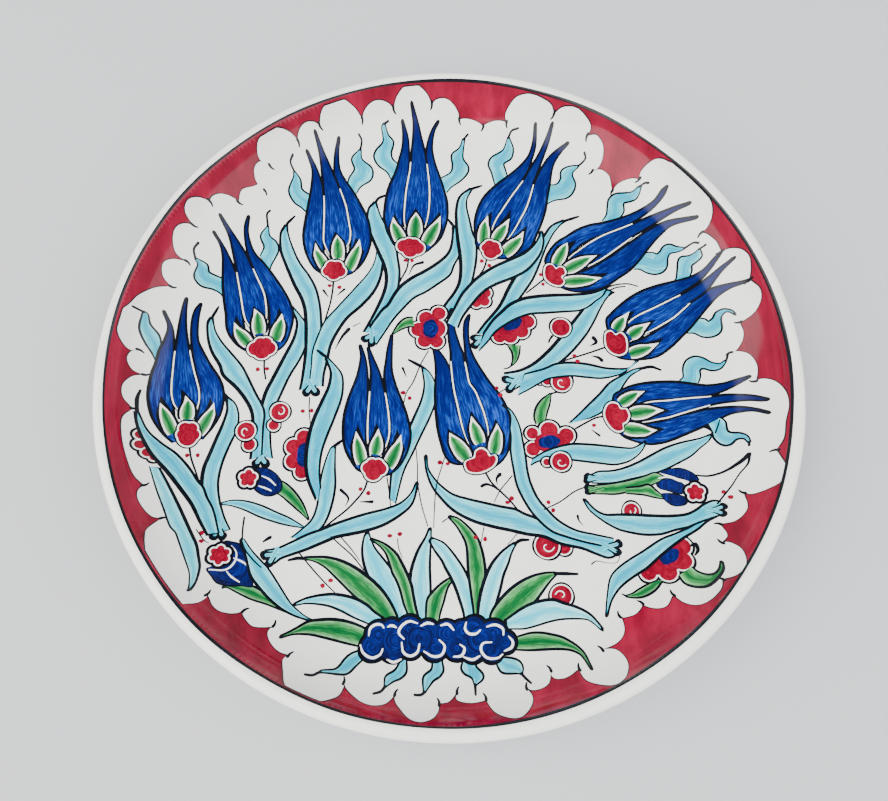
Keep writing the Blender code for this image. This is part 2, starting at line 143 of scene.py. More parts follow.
def stroke(name, points, widths, step=0.9, seed=None, cap=True):
    """A brush line along the points. widths are its full widths, spread evenly along it."""
    c = curve(points, step)
    n = len(c)
    w = np.interp(np.linspace(0, 1, n), np.linspace(0, 1, len(widths)), widths) / 2
    nn = normals(c)
    a, b = c + nn * w[:, None], c - nn * w[:, None]
    outline = [a]
    if cap:
        t = c[-1] - c[-2]
        t = t / (np.linalg.norm(t) + 1e-9)
        outline.append((c[-1] + t * w[-1] * 0.9)[None])
    outline.append(b[::-1])
    if cap:
        t = c[0] - c[1]
        t = t / (np.linalg.norm(t) + 1e-9)
        outline.append((c[0] + t * w[0] * 0.9)[None])
    put(name, np.vstack(outline), mid=c, half=nn * w[:, None], seed=seed)


def blob(name, centre, rx, ry=None, turn=0.0, n=None, wobble=0.0, lobes=0, depth=0.0, phase=0.0, seed=None):
    """A dot, an ellipse, or a lobed flower shape."""
    ry = ry or rx
    n = n or int(max(10, min(72, 2 * math.pi * max(rx, ry) / 0.7 + 6 * lobes)))
    t = np.linspace(0, 2 * math.pi, n, endpoint=False)
    k = np.ones(n)
    if lobes:
        k = 1 - depth * np.abs(np.sin(lobes * (t - phase) / 2)) ** 2.2
        k = 1 - depth + depth * np.abs(np.cos(lobes * (t - phase) / 2)) ** 0.8
    k = k * (1 + wobble * np.sin(3 * t + centre[0]) + wobble * 0.6 * np.cos(2 * t + centre[1]))
    x, y = rx * k * np.cos(t), ry * k * np.sin(t)
    c, s = math.cos(math.radians(turn)), math.sin(math.radians(turn))
    put(name, np.stack([centre[0] + c * x - s * y, centre[1] + s * x + c * y], axis=1),
        centre=np.array(centre, float), radius=(rx + ry) / 2, seed=seed)


def loop(name, points, step=0.8, seed=None):
    p = curve(points, step, closed=True)[:-1]
    c = p.mean(axis=0)
    put(name, p, centre=c, radius=float(np.linalg.norm(p - c, axis=1).mean()), seed=seed)


def dots(name, text, r=1.0):
    for i, p in enumerate(P(text)):
        blob(name, p, r * (1.0 + 0.12 * math.sin(7 * p[0])), r * (0.9 + 0.1 * math.cos(5 * p[1])), wobble=0.05)


def outlined(line, fill, left, right, wl=1.1, wr=0.7, tail=None, base=0.0, step=1.0, tail_w=(1.5, 1.6, 1.0), tip=0.55):
    """A filled strip with a dark brush line round it: wl and wr are the line's widths on its two edges."""
    a, b = curve(left, step), curve(right, step)
    n = max(len(a), len(b))
    a, b = resample(a, n), resample(b, n)
    wl, wr = wl * 1.2, wr * 1.2
    side = 1.0
    mid = (a + b) / 2
    m = n // 3
    tangent = mid[m + 1] - mid[m]
    if tangent[0] * (a[m] - b[m])[1] - tangent[1] * (a[m] - b[m])[0] < 0:
        side = -1.0
    s = np.linspace(0, 1, n)
    swell = (0.75 + 0.35 * np.sin(math.pi * np.clip(s * 1.1, 0, 1)))
    na, nb = normals(a) * side, -normals(b) * side
    la, lb = a + na * (wl * swell)[:, None], b + nb * (wr * swell)[:, None]
    if base > 0:
        t = mid[0] - mid[1]
        t = t / (np.linalg.norm(t) + 1e-9) * base
        la = np.vstack([la[0] + t, la])
        lb = np.vstack([lb[0] + t, lb])
    put(line, np.vstack([la, lb[::-1]]), mid=mid, half=(a - b) / 2)
    if tail is not None:
        stroke(line, np.vstack([a[-3], a[-1], P(tail)]) if np.linalg.norm(P(tail)[0] - a[-1]) > 0.3 else P(tail), tail_w)
    else:
        blob(line, a[-1], 0.75)
    if fill:
        k = np.ones(n)
        k[-max(2, n // 14):] = np.linspace(1, 0.15, max(2, n // 14))
        fa = mid + (a - mid) * k[:, None]
        fb = mid + (b - mid) * k[:, None]
        cut = max(2, n - max(1, int(1.2 / step)))
        put(fill, np.vstack([fa[:cut], fb[:cut][::-1]]), mid=mid, half=(a - b) / 2)
    return a, b


def toes(line, text, r=1.5, to=None, fill=None):
    """The split, rounded foot of a leaf: toes in the leaf's paint with a thick dark edge, run on into the leaf."""
    pts = P(text)
    fill = fill or line.replace("_line", "_turq")
    to = np.array(to, float)
    pts = pts + (to - pts) * 0.30
    for p in pts:
        d = (p - to) / (np.linalg.norm(p - to) + 1e-9)
        stroke(line, np.vstack([to - d * 1.0, to, (p + to) / 2, p]), (r * 1.5, r * 1.9, r * 2.1, r * 2.2), step=0.6)
        blob(line, p, r + 0.55, wobble=0.06)
    for p in pts:
        d = (p - to) / (np.linalg.norm(p - to) + 1e-9)
        stroke(fill, np.vstack([to - d * 3.0, to - d, (p + to) / 2, p - d * 0.5]), (r * 1.2, r * 1.2, r * 1.0, r * 0.9), step=0.6)


# ---------------------------------------------------------------- layout
GROUND = piece("white_ground", "white", "white_slip_face")
RED = piece("border_red", "border", "red_border")
CLOUD_LINE = piece("cloud_contour", "line")
RIM = piece("rim_line_painted", "line", "rim_line")

# the cloud's edge: the little hooks between its lobes, and how far each lobe stands out
CLOUD = [
    # cusp x,y, lobe bulge as a share of its chord (to the next cusp)
    (-136.1, 7.1, 0.30), (-126.8, 39.4, 0.24), (-121.4, 52.6, 0.34), (-119.3, 69.0, 0.30), (-112.5, 81.1, 0.26),
    (-100.9, 84.6, 0.34), (-89.4, 92.3, 0.36), (-87.0, 103.2, 0.46), (-74.2, 115.7, 0.26), (-64.2, 123.6, 0.34),
    (-44.2, 129.6, 0.26), (-29.2, 135.0, 0.34), (-10.6, 137.9, 0.30), (2.9, 132.8, 0.12), (14.7, 130.0, 0.14),
    (26.0, 131.0, 0.36), (48.4, 131.6, 0.30), (64.4, 121.6, 0.34), (67.6, 107.0, 0.44), (77.0, 96.8, 0.30),
    (89.0, 100.0, 0.0),
]


def arc_lobe(a, b, bulge, n=12):
    """Points of a lobe from a to b, standing out to the left of the way from a to b."""
    a, b = np.array(a, float), np.array(b, float)
    d = b - a
    out = np.array([-d[1], d[0]])
    t = np.linspace(0, 1, n)[1:-1]
    lift = np.sin(math.pi * t) ** 0.62
    return a + d * t[:, None] + out * (bulge * lift)[:, None]


cloud_rest = [
    # from the right shoulder clockwise to the left side: cusps and lobes, listed one by one
    ("lobe", "89.0,100.0 89.9,103.3 94.1,105.4 97.7,104.3 100.6,102.1 102.9,100.6 107.5,95.6 112.3,89.7 116.5,84.0 118.6,80.0 119.1,75.7 117.9,72.4 115.6,70.6"),
    ("lobe", "115.6,70.6 117.7,69.6 121.3,65.3 122.9,61.6 123.5,60.0"),
    ("lobe", "123.5,60.0 126.3,60.1 129.9,58.1 132.7,53.9 133.6,48.9 133.4,44.2"),
    ("lobe", "133.4,44.2 136.6,38.9 137.1,33.9 135.2,29.6 131.3,27.1 129.9,26.7"),
    ("lobe", "129.9,26.7 131.1,21.7 130.2,17.4 127.7,13.9 125.6,13.4"),
    ("lobe", "125.6,13.4 128.4,13.5 132.0,11.7 134.1,8.1 134.9,3.9 134.1,-1.1 133.4,-1.8"),
    ("lobe", "133.4,-1.8 136.4,-1.4 139.9,-4.0 142.1,-9.5 142.3,-16.0 140.6,-23.0 139.1,-30.1 136.3,-34.8"),
    ("lobe", "136.3,-34.8 137.0,-38.7 137.4,-43.7 135.6,-48.7 132.0,-51.0 126.3,-52.6 123.4,-51.6"),
    ("lobe", "123.4,-51.6 123.8,-57.3 122.0,-60.9 118.4,-63.7 113.1,-64.4"),
    ("lobe", "113.1,-64.4 114.9,-69.4 112.4,-72.6"),
    ("lobe", "112.4,-72.6 114.9,-72.7 117.7,-75.6 118.1,-79.9 116.6,-84.1 113.4,-87.0 109.1,-88.1"),
    ("lobe", "109.1,-88.1 107.7,-92.0 103.4,-96.3 99.1,-98.1 94.9,-97.0 91.5,-93.5"),
    ("lobe", "91.5,-93.5 88.4,-98.1 84.1,-99.0 79.9,-97.7 79.4,-96.8"),
    ("lobe", "79.4,-96.8 79.1,-98.4 76.3,-101.3 72.0,-102.6 70.1,-102.0"),
    ("lobe", "70.1,-102.0 71.2,-104.1 71.2,-108.4 68.7,-112.0 65.1,-114.1 61.9,-115.2"),
    ("lobe", "61.9,-115.2 66.6,-115.2 69.4,-117.7 70.1,-121.3 68.0,-125.6 63.7,-128.4 58.7,-128.4 54.4,-127.0 52.6,-124.1 52.3,-122.6"),
    ("lobe", "52.3,-122.6 48.0,-125.6 44.4,-126.6 41.9,-125.9 41.4,-123.1"),
    ("lobe", "41.4,-123.1 41.2,-125.6 40.1,-128.4 37.3,-130.2 33.7,-130.9 31.6,-130.0"),
    ("lobe", "31.6,-130.0 33.6,-133.4 32.3,-137.0 28.7,-140.2 24.4,-140.7 19.4,-139.1 16.9,-136.3 15.9,-134.1"),
    ("lobe", "15.9,-134.1 15.5,-134.9 10.1,-135.9 4.8,-134.9 4.8,-132.0"),
    ("lobe", "4.8,-132.0 4.4,-132.7 1.6,-135.6 -2.0,-136.3"),
    ("lobe", "-2.0,-136.3 -2.4,-139.1 -4.6,-141.6 -8.9,-142.7 -13.1,-141.6 -16.7,-138.4 -18.9,-135.6 -19.1,-133.1"),
    ("lobe", "-19.1,-133.1 -19.6,-134.1 -22.4,-136.6 -26.7,-137.3 -31.0,-136.3 -34.6,-134.1 -37.8,-131.3 -38.9,-129.1"),
    ("lobe", "-38.9,-129.1 -38.9,-131.3 -40.3,-134.1 -43.9,-135.6 -47.4,-135.9 -52.4,-134.3 -56.7,-132.4 -59.9,-130.2 -61.7,-125.6 -62.8,-121.3 -61.0,-119.5"),
    ("lobe", "-61.0,-119.5 -64.6,-118.4 -67.4,-116.3 -69.6,-113.4 -70.3,-110.6 -68.5,-108.1"),
    ("lobe", "-68.5,-108.1 -69.6,-108.8 -76.0,-108.9 -79.3,-106.3 -80.9,-104.1 -80.7,-102.7"),
    ("lobe", "-80.7,-102.7 -82.9,-103.8 -85.7,-104.1 -89.3,-103.4 -92.1,-101.3 -93.9,-98.4 -95.0,-97.0"),
    ("lobe", "-95.0,-97.0 -95.0,-98.4 -97.1,-100.6 -100.0,-101.4 -102.5,-101.6 -107.1,-96.8 -112.0,-91.0 -116.4,-85.4 -117.5,-84.1 -118.6,-80.6 -120.0,-76.3 -120.4,-72.0 -117.1,-66.6"),
    ("lobe", "-117.1,-66.6 -120.4,-66.5 -123.7,-63.6 -126.4,-59.5 -127.0,-56.0 -125.7,-53.4"),
    ("lobe", "-125.7,-53.4 -129.9,-49.3 -134.0,-40.5 -136.6,-32.0 -137.4,-25.0 -134.9,-20.0"),
    ("lobe", "-134.9,-20.0 -138.6,-16.0 -139.4,-10.5 -137.0,-5.6 -133.2,-3.6"),
    ("lobe", "-133.2,-3.6 -137.3,-2.6 -139.4,1.4 -138.6,5.2 -136.1,7.1"),
]

cloud_parts, cusps = [], []
hand_lobes = {
    0: "-136.1,7.1 -139.3,6.0 -142.2,9.6 -143.2,14.6 -142.6,20.5 -140.0,26.0 -137.6,31.0 -133.0,36.4 -128.6,38.9 -126.8,39.4",
    1: "-126.8,39.4 -130.0,43.0 -130.0,48.5 -126.5,51.8 -121.4,52.6",
    2: "-121.4,52.6 -125.4,54.6 -126.6,59.4 -125.6,64.6 -122.6,68.0 -119.3,69.0",
    3: "-119.3,69.0 -121.8,72.9 -120.4,77.6 -116.6,80.6 -112.5,81.1",
    5: "-100.9,84.6 -99.4,90.2 -94.3,93.2 -90.7,95.4 -89.4,92.3",
    6: "-89.4,92.3 -93.2,95.5 -93.8,100.4 -91.0,103.8 -87.0,103.2",
    7: "-87.0,103.2 -91.4,104.4 -92.0,108.4 -90.0,112.2 -85.9,115.6 -81.4,117.6 -77.0,117.6 -74.2,115.7",
    15: "26.0,131.0 25.5,134.6 29.4,138.6 35.2,139.1 40.9,137.5 46.6,134.6 48.4,131.6",
    16: "48.4,131.6 52.3,132.8 58.7,131.1 64.0,126.9 65.8,123.9 64.4,121.6",
    17: "64.4,121.6 68.6,121.0 71.9,116.9 72.2,112.1 70.4,108.4 67.6,107.0",
    18: "67.6,107.0 71.4,107.4 75.2,104.4 76.4,100.7 77.0,96.8",
    19: "77.0,96.8 79.4,99.6 82.7,100.9 86.3,101.0 89.0,100.0",
}
for i in range(len(CLOUD) - 1):
    a, b = CLOUD[i], CLOUD[i + 1]
    if i in hand_lobes:
        pts = P(hand_lobes[i])
    else:
        pts = np.vstack([[a[:2]], arc_lobe(a[:2], b[:2], a[2]), [b[:2]]])
    cloud_parts.append(curve(pts, 0.9))
    cusps.append(np.array(a[:2]))
for _, text in cloud_rest:
    pts = P(text)
    cloud_parts.append(curve(pts, 0.9))
    cusps.append(pts[0])
cloud = []
for part in cloud_parts:
    r = np.linalg.norm(part, axis=1)
    part = part * np.minimum(1, 143.6 / r)[:, None]
    cloud.append(part[:-1])
cloud_outline = np.vstack(cloud)

# ground: the lip's white band first, then the red ring, then the white cloud
RIM_C = (-0.5, 0.2)
ang = np.linspace(0, 2 * math.pi, 420, endpoint=False)
wob = 0.10 * np.sin(3 * ang + 1.0) + 0.07 * np.sin(7 * ang) + 0.05 * np.sin(17 * ang + 2)
RING_IN = 144.15 + wob
put(GROUND, np.stack([CREST * np.cos(ang), CREST * np.sin(ang)], axis=1), centre=np.zeros(2), radius=CREST, seed=1.0)
w_line = 1.0 + 0.16 * np.sin(5 * ang + 0.6) + 0.10 * np.sin(13 * ang)
ro = RING_IN + w_line
put(RIM, np.stack([RIM_C[0] + ro * np.cos(ang), RIM_C[1] + ro * np.sin(ang)], axis=1), centre=np.zeros(2), radius=CREST, seed=2.0)
put(RED, np.stack([RIM_C[0] + RING_IN * np.cos(ang), RIM_C[1] + RING_IN * np.sin(ang)], axis=1), centre=np.zeros(2), radius=CREST, seed=3.0)
# the contour is a slightly larger cloud in the line colour, with the white cloud over it
for part in cloud_parts:
    r = np.linalg.norm(part, axis=1)
    part = part * np.minimum(1, 143.6 / r)[:, None]
    n = len(part)
    stroke(CLOUD_LINE, part[:: max(1, n // 14)] if n > 20 else part, (0.95, 0.75, 0.6, 0.75, 0.95), step=0.9)
put(GROUND, cloud_outline, centre=np.zeros(2), radius=120.0, seed=4.0)
for i, c in enumerate(cusps):
    inward = -c / np.linalg.norm(c)
    side = np.array([-inward[1], inward[0]]) * (1 if i % 2 else -1)
    stroke(CLOUD_LINE, np.vstack([c - inward * 0.9, c + inward * 0.3, c + inward * 1.1 + side * 0.3, c + inward * 1.8 + side * 0.8]), (1.3, 1.2, 0.9, 0.6), step=0.5)

# ---------------------------------------------------------------- leaves and ribbons
TURQ = "turq"
GREEN = "green"


def leaf(pair, left, right, colour=TURQ, wl=1.4, wr=0.95, tail=None, **more):
    line = piece(f"leaf_pair_{pair:02d}_line", "line", f"leaf_pair_{pair:02d}")
    fill = piece(f"leaf_pair_{pair:02d}_{colour}", colour, f"leaf_pair_{pair:02d}")
    return outlined(line, fill, P(left), P(right), wl, wr, tail, **more)


RIB_LINE = piece("ribbons_line", "line")
RIB = piece("ribbons_turq", "turq")


def ribbon(left, right, tail=None, w=0.75):
    outlined(RIB_LINE, RIB, P(left), P(right), w, w, tail, step=0.8, tail_w=(1.1, 1.0, 1.1))


ribbon("-50.3,100 -49.9,102.9 -47.4,107.9 -48.9,112.9 -45.2,117.5", "-46.7,94.3 -44.6,98.6 -40.3,102.1 -39.2,105.7 -40.3,109.3 -44.6,112.9 -45.2,117.5", "-45.2,117.5 -44.6,121.4 -46,123.9")
ribbon("-29.2,102.1 -31.7,107.1 -36,110.7 -38.1,114.6 -37.1,117.9 -33.9,122.1 -34.7,127.9 -33.6,129.3", "-26,110.7 -29.6,113.6 -30.6,117.1 -29.6,122.1 -32.1,125 -33.6,129.3", "-33.6,129.3 -31.7,130.6")
ribbon("-5.6,103.6 -0.6,107.1 0.4,111.4 -0.1,117.1 3.4,120.4 5.1,125", "-3.1,95.7 -0.6,99.3 3.7,102.9 6.9,107.1 7.3,110.7 4.8,115 4.8,119.3 5.6,125", "5.4,125 7.3,127")
ribbon("21,100.7 19.4,107.9 18,112.1 19.4,115.7 24.8,119.3 26.6,123.6 27.2,125.3", "26.6,105.4 25.5,109.3 24.8,112.9 28.4,115.7 29.3,120 28,123.6 27.2,125.3", "27.2,125.3 28.7,127.9 31.9,128.7")
ribbon("47.3,100.6 50.9,101.4 53,104.3 53.4,108.2 56.6,110 61.2,110.2", "45.5,90.7 49.4,92.9 55.1,94.3 58,97.1 59.4,101.4 58,106.8 61.2,110.2", "61.2,110.2 64.3,112.9 63.7,115.7")
ribbon("-68.9,83.2 -72,86.4 -75.7,89.3 -78.2,94.3 -76.4,100.7 -76.3,103.5", "-68.1,92.5 -72.8,95.4 -73.7,100 -76.3,103.5", "-76.3,103.5 -78,107.1 -76.8,110.4")
ribbon("-89.4,59.6 -87.9,64.6 -90,70.3 -87.4,75.5", "-84.9,51.4 -84.3,55.3 -81.8,62.4 -82.9,66.7 -86.4,70.3 -87.4,75.5", "-87.4,75.5 -88.2,81.4 -86.8,83.6")
ribbon("-105.7,47.1 -109.3,48.1 -112.5,49.6 -113.6,53.1 -118.2,55", "-104.6,38.1 -106.4,40.3 -110,42.1 -115,43.1 -117.9,46.7 -116.8,52.4 -118.2,55", "-118.2,55 -118.9,58.9 -117.1,62.4")
ribbon("-129.6,3.9 -131.4,7.4 -134.3,11.7 -136.4,16.7 -136.1,22.4 -135.8,24.5", "-128.6,9.2 -130,15.3 -133.6,19.6 -134.6,23.9 -135.8,24.5", "-135.8,24.5 -139.3,25.1")
ribbon("92,64.6 94.9,64.6 97,63.7 98.8,65.3 100.2,67.4 102.7,68.1 105.6,66.7 109.1,65.6", "85.2,56.4 88.4,56.4 92,54.6 95.6,54 99.1,55.3 100.9,58.1 101.3,61.7 102.7,64.2 106.3,64.7 109.1,65.6", "109.1,65.6 112.7,67.3 114.9,66.6")
ribbon("103.1,49.2 105.2,51 106.1,55.3 106.6,59.6 107.7,61.4 110.6,61.4 113.4,62.4 115.2,63.9", "110.6,51.7 111.6,54.6 111.6,57.1 114.1,58.9 115.9,60.6 115.2,63.9", "115.2,63.9 117.7,65.1")
ribbon("113.4,31 116.3,30.3 117.7,28.9 119.9,30.3 121.3,32.8 124.1,33.9 127,32.8 128.3,31", "107.7,24.2 111.3,24.2 114.9,22.4 118.4,22.1 121.3,23.1 122.7,25.3 122.7,30.3 124.5,32.8 126.6,32.6 128.3,31", "128.3,31 128.6,30.4")
ribbon("102.7,0.3 104.9,2.4 105.2,6.7 107,10.3 110.6,12.1 114.1,11.4 117.7,9.2 121.3,8.5 123.4,9.9", "110.9,-0.1 112,3.1 112,6 114.1,7.1 117.7,6 121.3,6.7 123.8,9.9", "123.8,9.9 124.7,12.8")
ribbon("72,81.1 74.5,85 75.2,89.3 75.9,92.9 78.4,95 82.7,95 86.3,95.1 89.1,97.1", "79.9,83.2 82,86.4 82,90.7 84.9,91.4 87.7,92.1 89.1,94.3 89.9,97.1", "89.6,97.1 91.6,98 93.3,97.5")

# pair 1, at the left
leaf(1, "-95.8,-71 -99,-62 -102.5,-56.2 -103.9,-50.9 -103.9,-43.7 -102.1,-37.3 -100,-30.1 -97.9,-23 -96.8,-16.6 -97.9,-11", "-91.4,-69.4 -94.3,-64.4 -97.1,-57.3 -98.6,-49.4 -97.9,-41.6 -95.7,-33.7 -93.2,-26.6 -92.5,-20.1 -94.3,-14.4 -97.9,-11", tail="-97.9,-11 -100,-8.7", base=0.6)
leaf(1, "-99.3,-71.6 -102.9,-65.9 -107.1,-58.7 -112.9,-51.6 -118.6,-45.1 -125,-38.7 -129.3,-32.3 -132.1,-26.6 -133.6,-20.9", "-95.8,-71 -99,-62 -102.5,-56.2 -104.6,-51.9 -107.1,-49.4 -111.4,-43.7 -117.1,-38 -123.6,-33.7 -129.3,-28.7 -133.6,-20.9", tail="-133.6,-20.9 -134.3,-15.1 -133.7,-10.9", base=0.6)
toes(piece("leaf_pair_01_line", "line"), "-97.8,-73.8 -93.0,-73.6", 1.5, (-95.4, -69.4))
# the pale blade low on the left
leaf(1, "-125.4,-44.4 -121.4,-53.7 -117.1,-62.3 -113.6,-69.4 -111.1,-72 -108.9,-76.3 -107.1,-79.9 -105,-84.1 -102.9,-88.4 -101.8,-92.7 -101.4,-95.9", "-122.5,-45 -117,-54 -112,-62.5 -108,-69.5 -105.7,-73.4 -103.6,-77 -102.1,-81.3 -100.7,-85.6 -100.4,-89.9 -100.7,-93.4 -101.4,-95.9", colour="pale", wl=0.6, wr=1.1)
# pair 2
leaf(2, "-84.6,-39.4 -84.3,-32.3 -84.6,-24.4 -85.7,-17.3 -89.3,-10.9 -94.3,-5.1 -100,-0.1 -102.1,4.6 -106.4,11 -108.9,17.4 -110,24.6 -108.9,27.5", "-80.9,-36.9 -81.5,-25 -81.8,-16.9 -86.4,-8.7 -90.7,-0.9 -93.6,3.9 -98.6,9.6 -103.6,15.3 -107.1,21 -108.9,27.5", tail="-108.9,27.5 -106.4,33.1")
leaf(2, "-80.9,-36.9 -81.5,-25 -81.8,-16.9 -80.4,-8.7 -77.9,-2.3 -76,2.4 -73.1,9.6 -70.3,16.7 -69.2,22.4 -69.6,27.4 -73.1,33.9", "-76.1,-38.7 -77.5,-32.3 -78.2,-25.1 -77.5,-16.6 -75,-8.7 -71.7,0.3 -68.1,7.4 -66,13.1 -65.3,18.9 -66,24.6 -68.9,28.9 -73.1,33.9")
toes(piece("leaf_pair_02_line", "line"), "-83.4,-42.2 -77.6,-42.0", 1.6, (-80.6, -37.8))
# pair 3
leaf(3, "-65.6,-7.3 -64.9,-2 -64.2,8.1 -64.2,15.3 -64.9,26 -66,33.1 -68.1,38.9 -71.7,45.3 -77.1,56.7 -79.6,63.1 -80.4,71.7 -78.6,76.4", "-62,-5 -61.5,5 -61.4,11.7 -59.9,16 -59.2,21.7 -59.9,29.6 -61,36 -63.1,43.1 -66.7,49.6 -71.7,56.7 -75.7,65.3 -77.9,71.7 -78.6,76.4", tail="-78.6,76.4 -77.9,77.9 -75,81.4")
leaf(3, "-62,-5 -61.5,5 -61.4,11.7 -59.2,20.3 -56.7,26.7 -52.4,32.4 -47.4,38.9 -43.1,44.6 -38.9,50.3 -36,56 -34.9,61.7 -35.3,66 -38.1,71", "-56.7,-5.1 -56.7,1 -55.6,8.1 -54.6,15.3 -51.4,23.1 -47.4,29.6 -41.7,35.3 -36.7,41.7 -33.9,48.1 -32.8,54.6 -32.8,60.3 -34.6,66 -38.1,71", wl=0.7, wr=1.25)
toes(piece("leaf_pair_03_line", "line"), "-64.0,-9.4 -58.2,-9.2", 1.6, (-61.2, -4.6))
# pair 4
leaf(4, "-38.9,21 -36,26.7 -33.1,33.1 -30.6,39.6 -29.2,45.3 -29.2,51 -30.6,56.7 -33.1,62.4 -36,68.9 -38.1,73.9 -39.6,78.6 -39.4,85.7 -36.8,89.8", "-34,22 -30,30 -28.1,34.9 -26,40.3 -24.9,45.3 -24.6,52.4 -25.6,58.9 -26.7,65.3 -28.9,71.7 -33.1,79.3 -35.3,84.3 -36.8,89.8", tail="-36.8,89.8 -35.3,92.1 -30.3,94.6")
leaf(4, "-36,24 -31,32 -28.1,34.9 -25.3,40.3 -22.4,44.6 -17.4,48.9 -11.7,52.4 -6,56.7 -1.7,61 0.4,65.3 1.2,71.7 1.2,77", "-33.9,15.3 -30.3,21.7 -26.7,28.1 -22.4,33.9 -17.4,39.6 -11.7,43.1 -6,47.4 -1,51.7 0.9,56.7 3.4,62.4 3.7,68.9 2.3,75 1.2,77", tail="1.2,77 -2,81.4")
toes(piece("leaf_pair_04_line", "line"), "-39.6,17.6 -35.4,14.4", 1.5, (-35.6, 20.2))
# pair 6 under pair 5
leaf(6, "12.6,21 16.6,26.7 20.1,31 23.7,36 28,45.3 31.9,52.4 38,62 44.1,71.7 48,77.9 54,81.3", "16,22 22,30 28.4,36.4 32.3,41.7 35.1,46 38,51 40.9,58.1 43,63.9 45.1,68.9 48,74.6 51.6,79.3 54,81.3", tail="54,81.3 60.9,83.9")
leaf(6, "16,22 20,28 24.4,32.6 28,36 33.7,38.9 40.9,40.3 48,41 55.1,41.4 62.3,42.1 68,43.5 72.3,46", "12.3,13.1 16.6,18.1 20.1,23.1 24.4,26.7 30.1,30.3 36.6,32.8 44.4,33.5 52.3,34.2 59.4,34.9 63.7,37.1 66.6,39.6 70.1,42.4 72.3,46", tail="72.3,46 76,47.6 82,48.4 87,47.2", tail_w=(0.9, 0.8, 0.7))
toes(piece("leaf_pair_06_line", "line"), "9.6,19.6 9.8,14.6", 1.5, (15.0, 19.8))
# pair 5
leaf(5, "-4,30 -2,35.3 2.3,41.7 4.8,47.4 5.5,54.6 5.1,61.7 4.1,68.9 3.7,72 3,80 2.9,87.1 4.4,93.6 9.4,98.2", "3,30 5.5,37 8.7,45.3 9.1,47.4 10.1,52.4 11.2,60.3 11.2,68.9 9.4,74 8,80.7 6.6,87.9 6.9,92.9 9.4,98.2", tail="9.4,98.2 14.4,100.1")
leaf(5, "-1,27 2.5,34 5.5,40.3 8,43.9 12.3,48.9 17.3,53.1 23,56.7 29.4,59.9 35.1,63.1 39.4,67.4 41.9,71.7 42.8,75.3", "3,24.6 5.1,30.3 8.7,36 12.3,41 16.6,45.3 22.3,48.5 29.4,51.7 35.1,55.3 39.4,60.3 41.9,64.6 43.1,69.6 42.8,75.3", wl=1.3, wr=1.2)
# pair 7
leaf(7, "24.4,2.1 31.6,3.5 38,6.7 44.4,12.4 49.4,18.1 54.4,24.6 58.7,30.3 62.3,35.3 66.6,40.3 72.3,45.3", "26,-6 31,-3 36,0.5 42.3,4.6 48,8.1 53,12.4 58,18.1 62.3,23.9 65.9,30.3 68.7,36 72.3,41.7 76,44.6", tail="74,45 77,46.4 81,47", tail_w=(0.9, 0.8, 0.7))
leaf(7, "33.7,2.1 42.3,4.6 48,7.1 55.1,7.8 62.3,7.1 69.4,5.6 76,5.3 81.3,6.2 84.9,10.3", "30.1,-7.3 35.1,-4.4 40.1,-1.2 45,1.3 54.4,2.6 60.9,2.1 68,1.7 73.7,2.8 78,4.5 84.9,10.3", wl=1.0, wr=0.8)
toes(piece("leaf_pair_07_line", "line"), "23.4,0.4 25.6,-6.4", 1.5, (29.4, -1.2))
# pair 8, the upright pair at the right of the middle
leaf(8, "52.6,-20.9 57.3,-16.6 62.3,-11.6 67.3,-6.6 71.6,-1.6 77,2 82,5 86,6.2", "61.9,-17.3 66.6,-14.8 70.1,-11.6 73,-7.3 76,-3.7 78,-0.5 80.9,3 86,6.2", wl=0.9, wr=0.8, tail="86,6.2 90.6,7.1 94.9,5.6")
leaf(8, "37,-36.6 42,-33.7 46.6,-31.9 50.9,-30.7 55.1,-30.1 62.3,-30.3 69,-30.8 76.3,-31.4 80.6,-31.2 84.9,-28.7 85.6,-28", "35,-39.4 38.7,-37.3 43.7,-35.9 48,-35.7 55.5,-36.4 60.1,-36.9 66.6,-37.6 72,-38 77.7,-36.6 82,-33.7 84.9,-30.1 85.6,-28", wl=0.9, wr=0.8)

leaf(8, "61.5,-43.6 64.9,-42.1 69.4,-41.9 73,-41.3 77,-40.1 82.7,-37.6 88.4,-34.4 94.9,-30.9 102,-28.4 109.1,-26.6 114.9,-24.4", "61.5,-46.4 66.6,-46.4 72,-45.9 79.1,-44.1 86.3,-42.3 92.7,-40.1 99.1,-36.9 104.9,-33.7 109.1,-30.1 112.7,-27.3 114.9,-24.4", wl=0.9, wr=0.8, tail="114.9,-24.4 115.4,-22.8 112.9,-20.9 109.9,-20.7", tail_w=(1.2, 1.6, 1.5, 0.7))
toes(piece("leaf_pair_08_line", "line"), "58.2,-46.0 58.6,-43.8", 1.3, (63.4, -44.6))
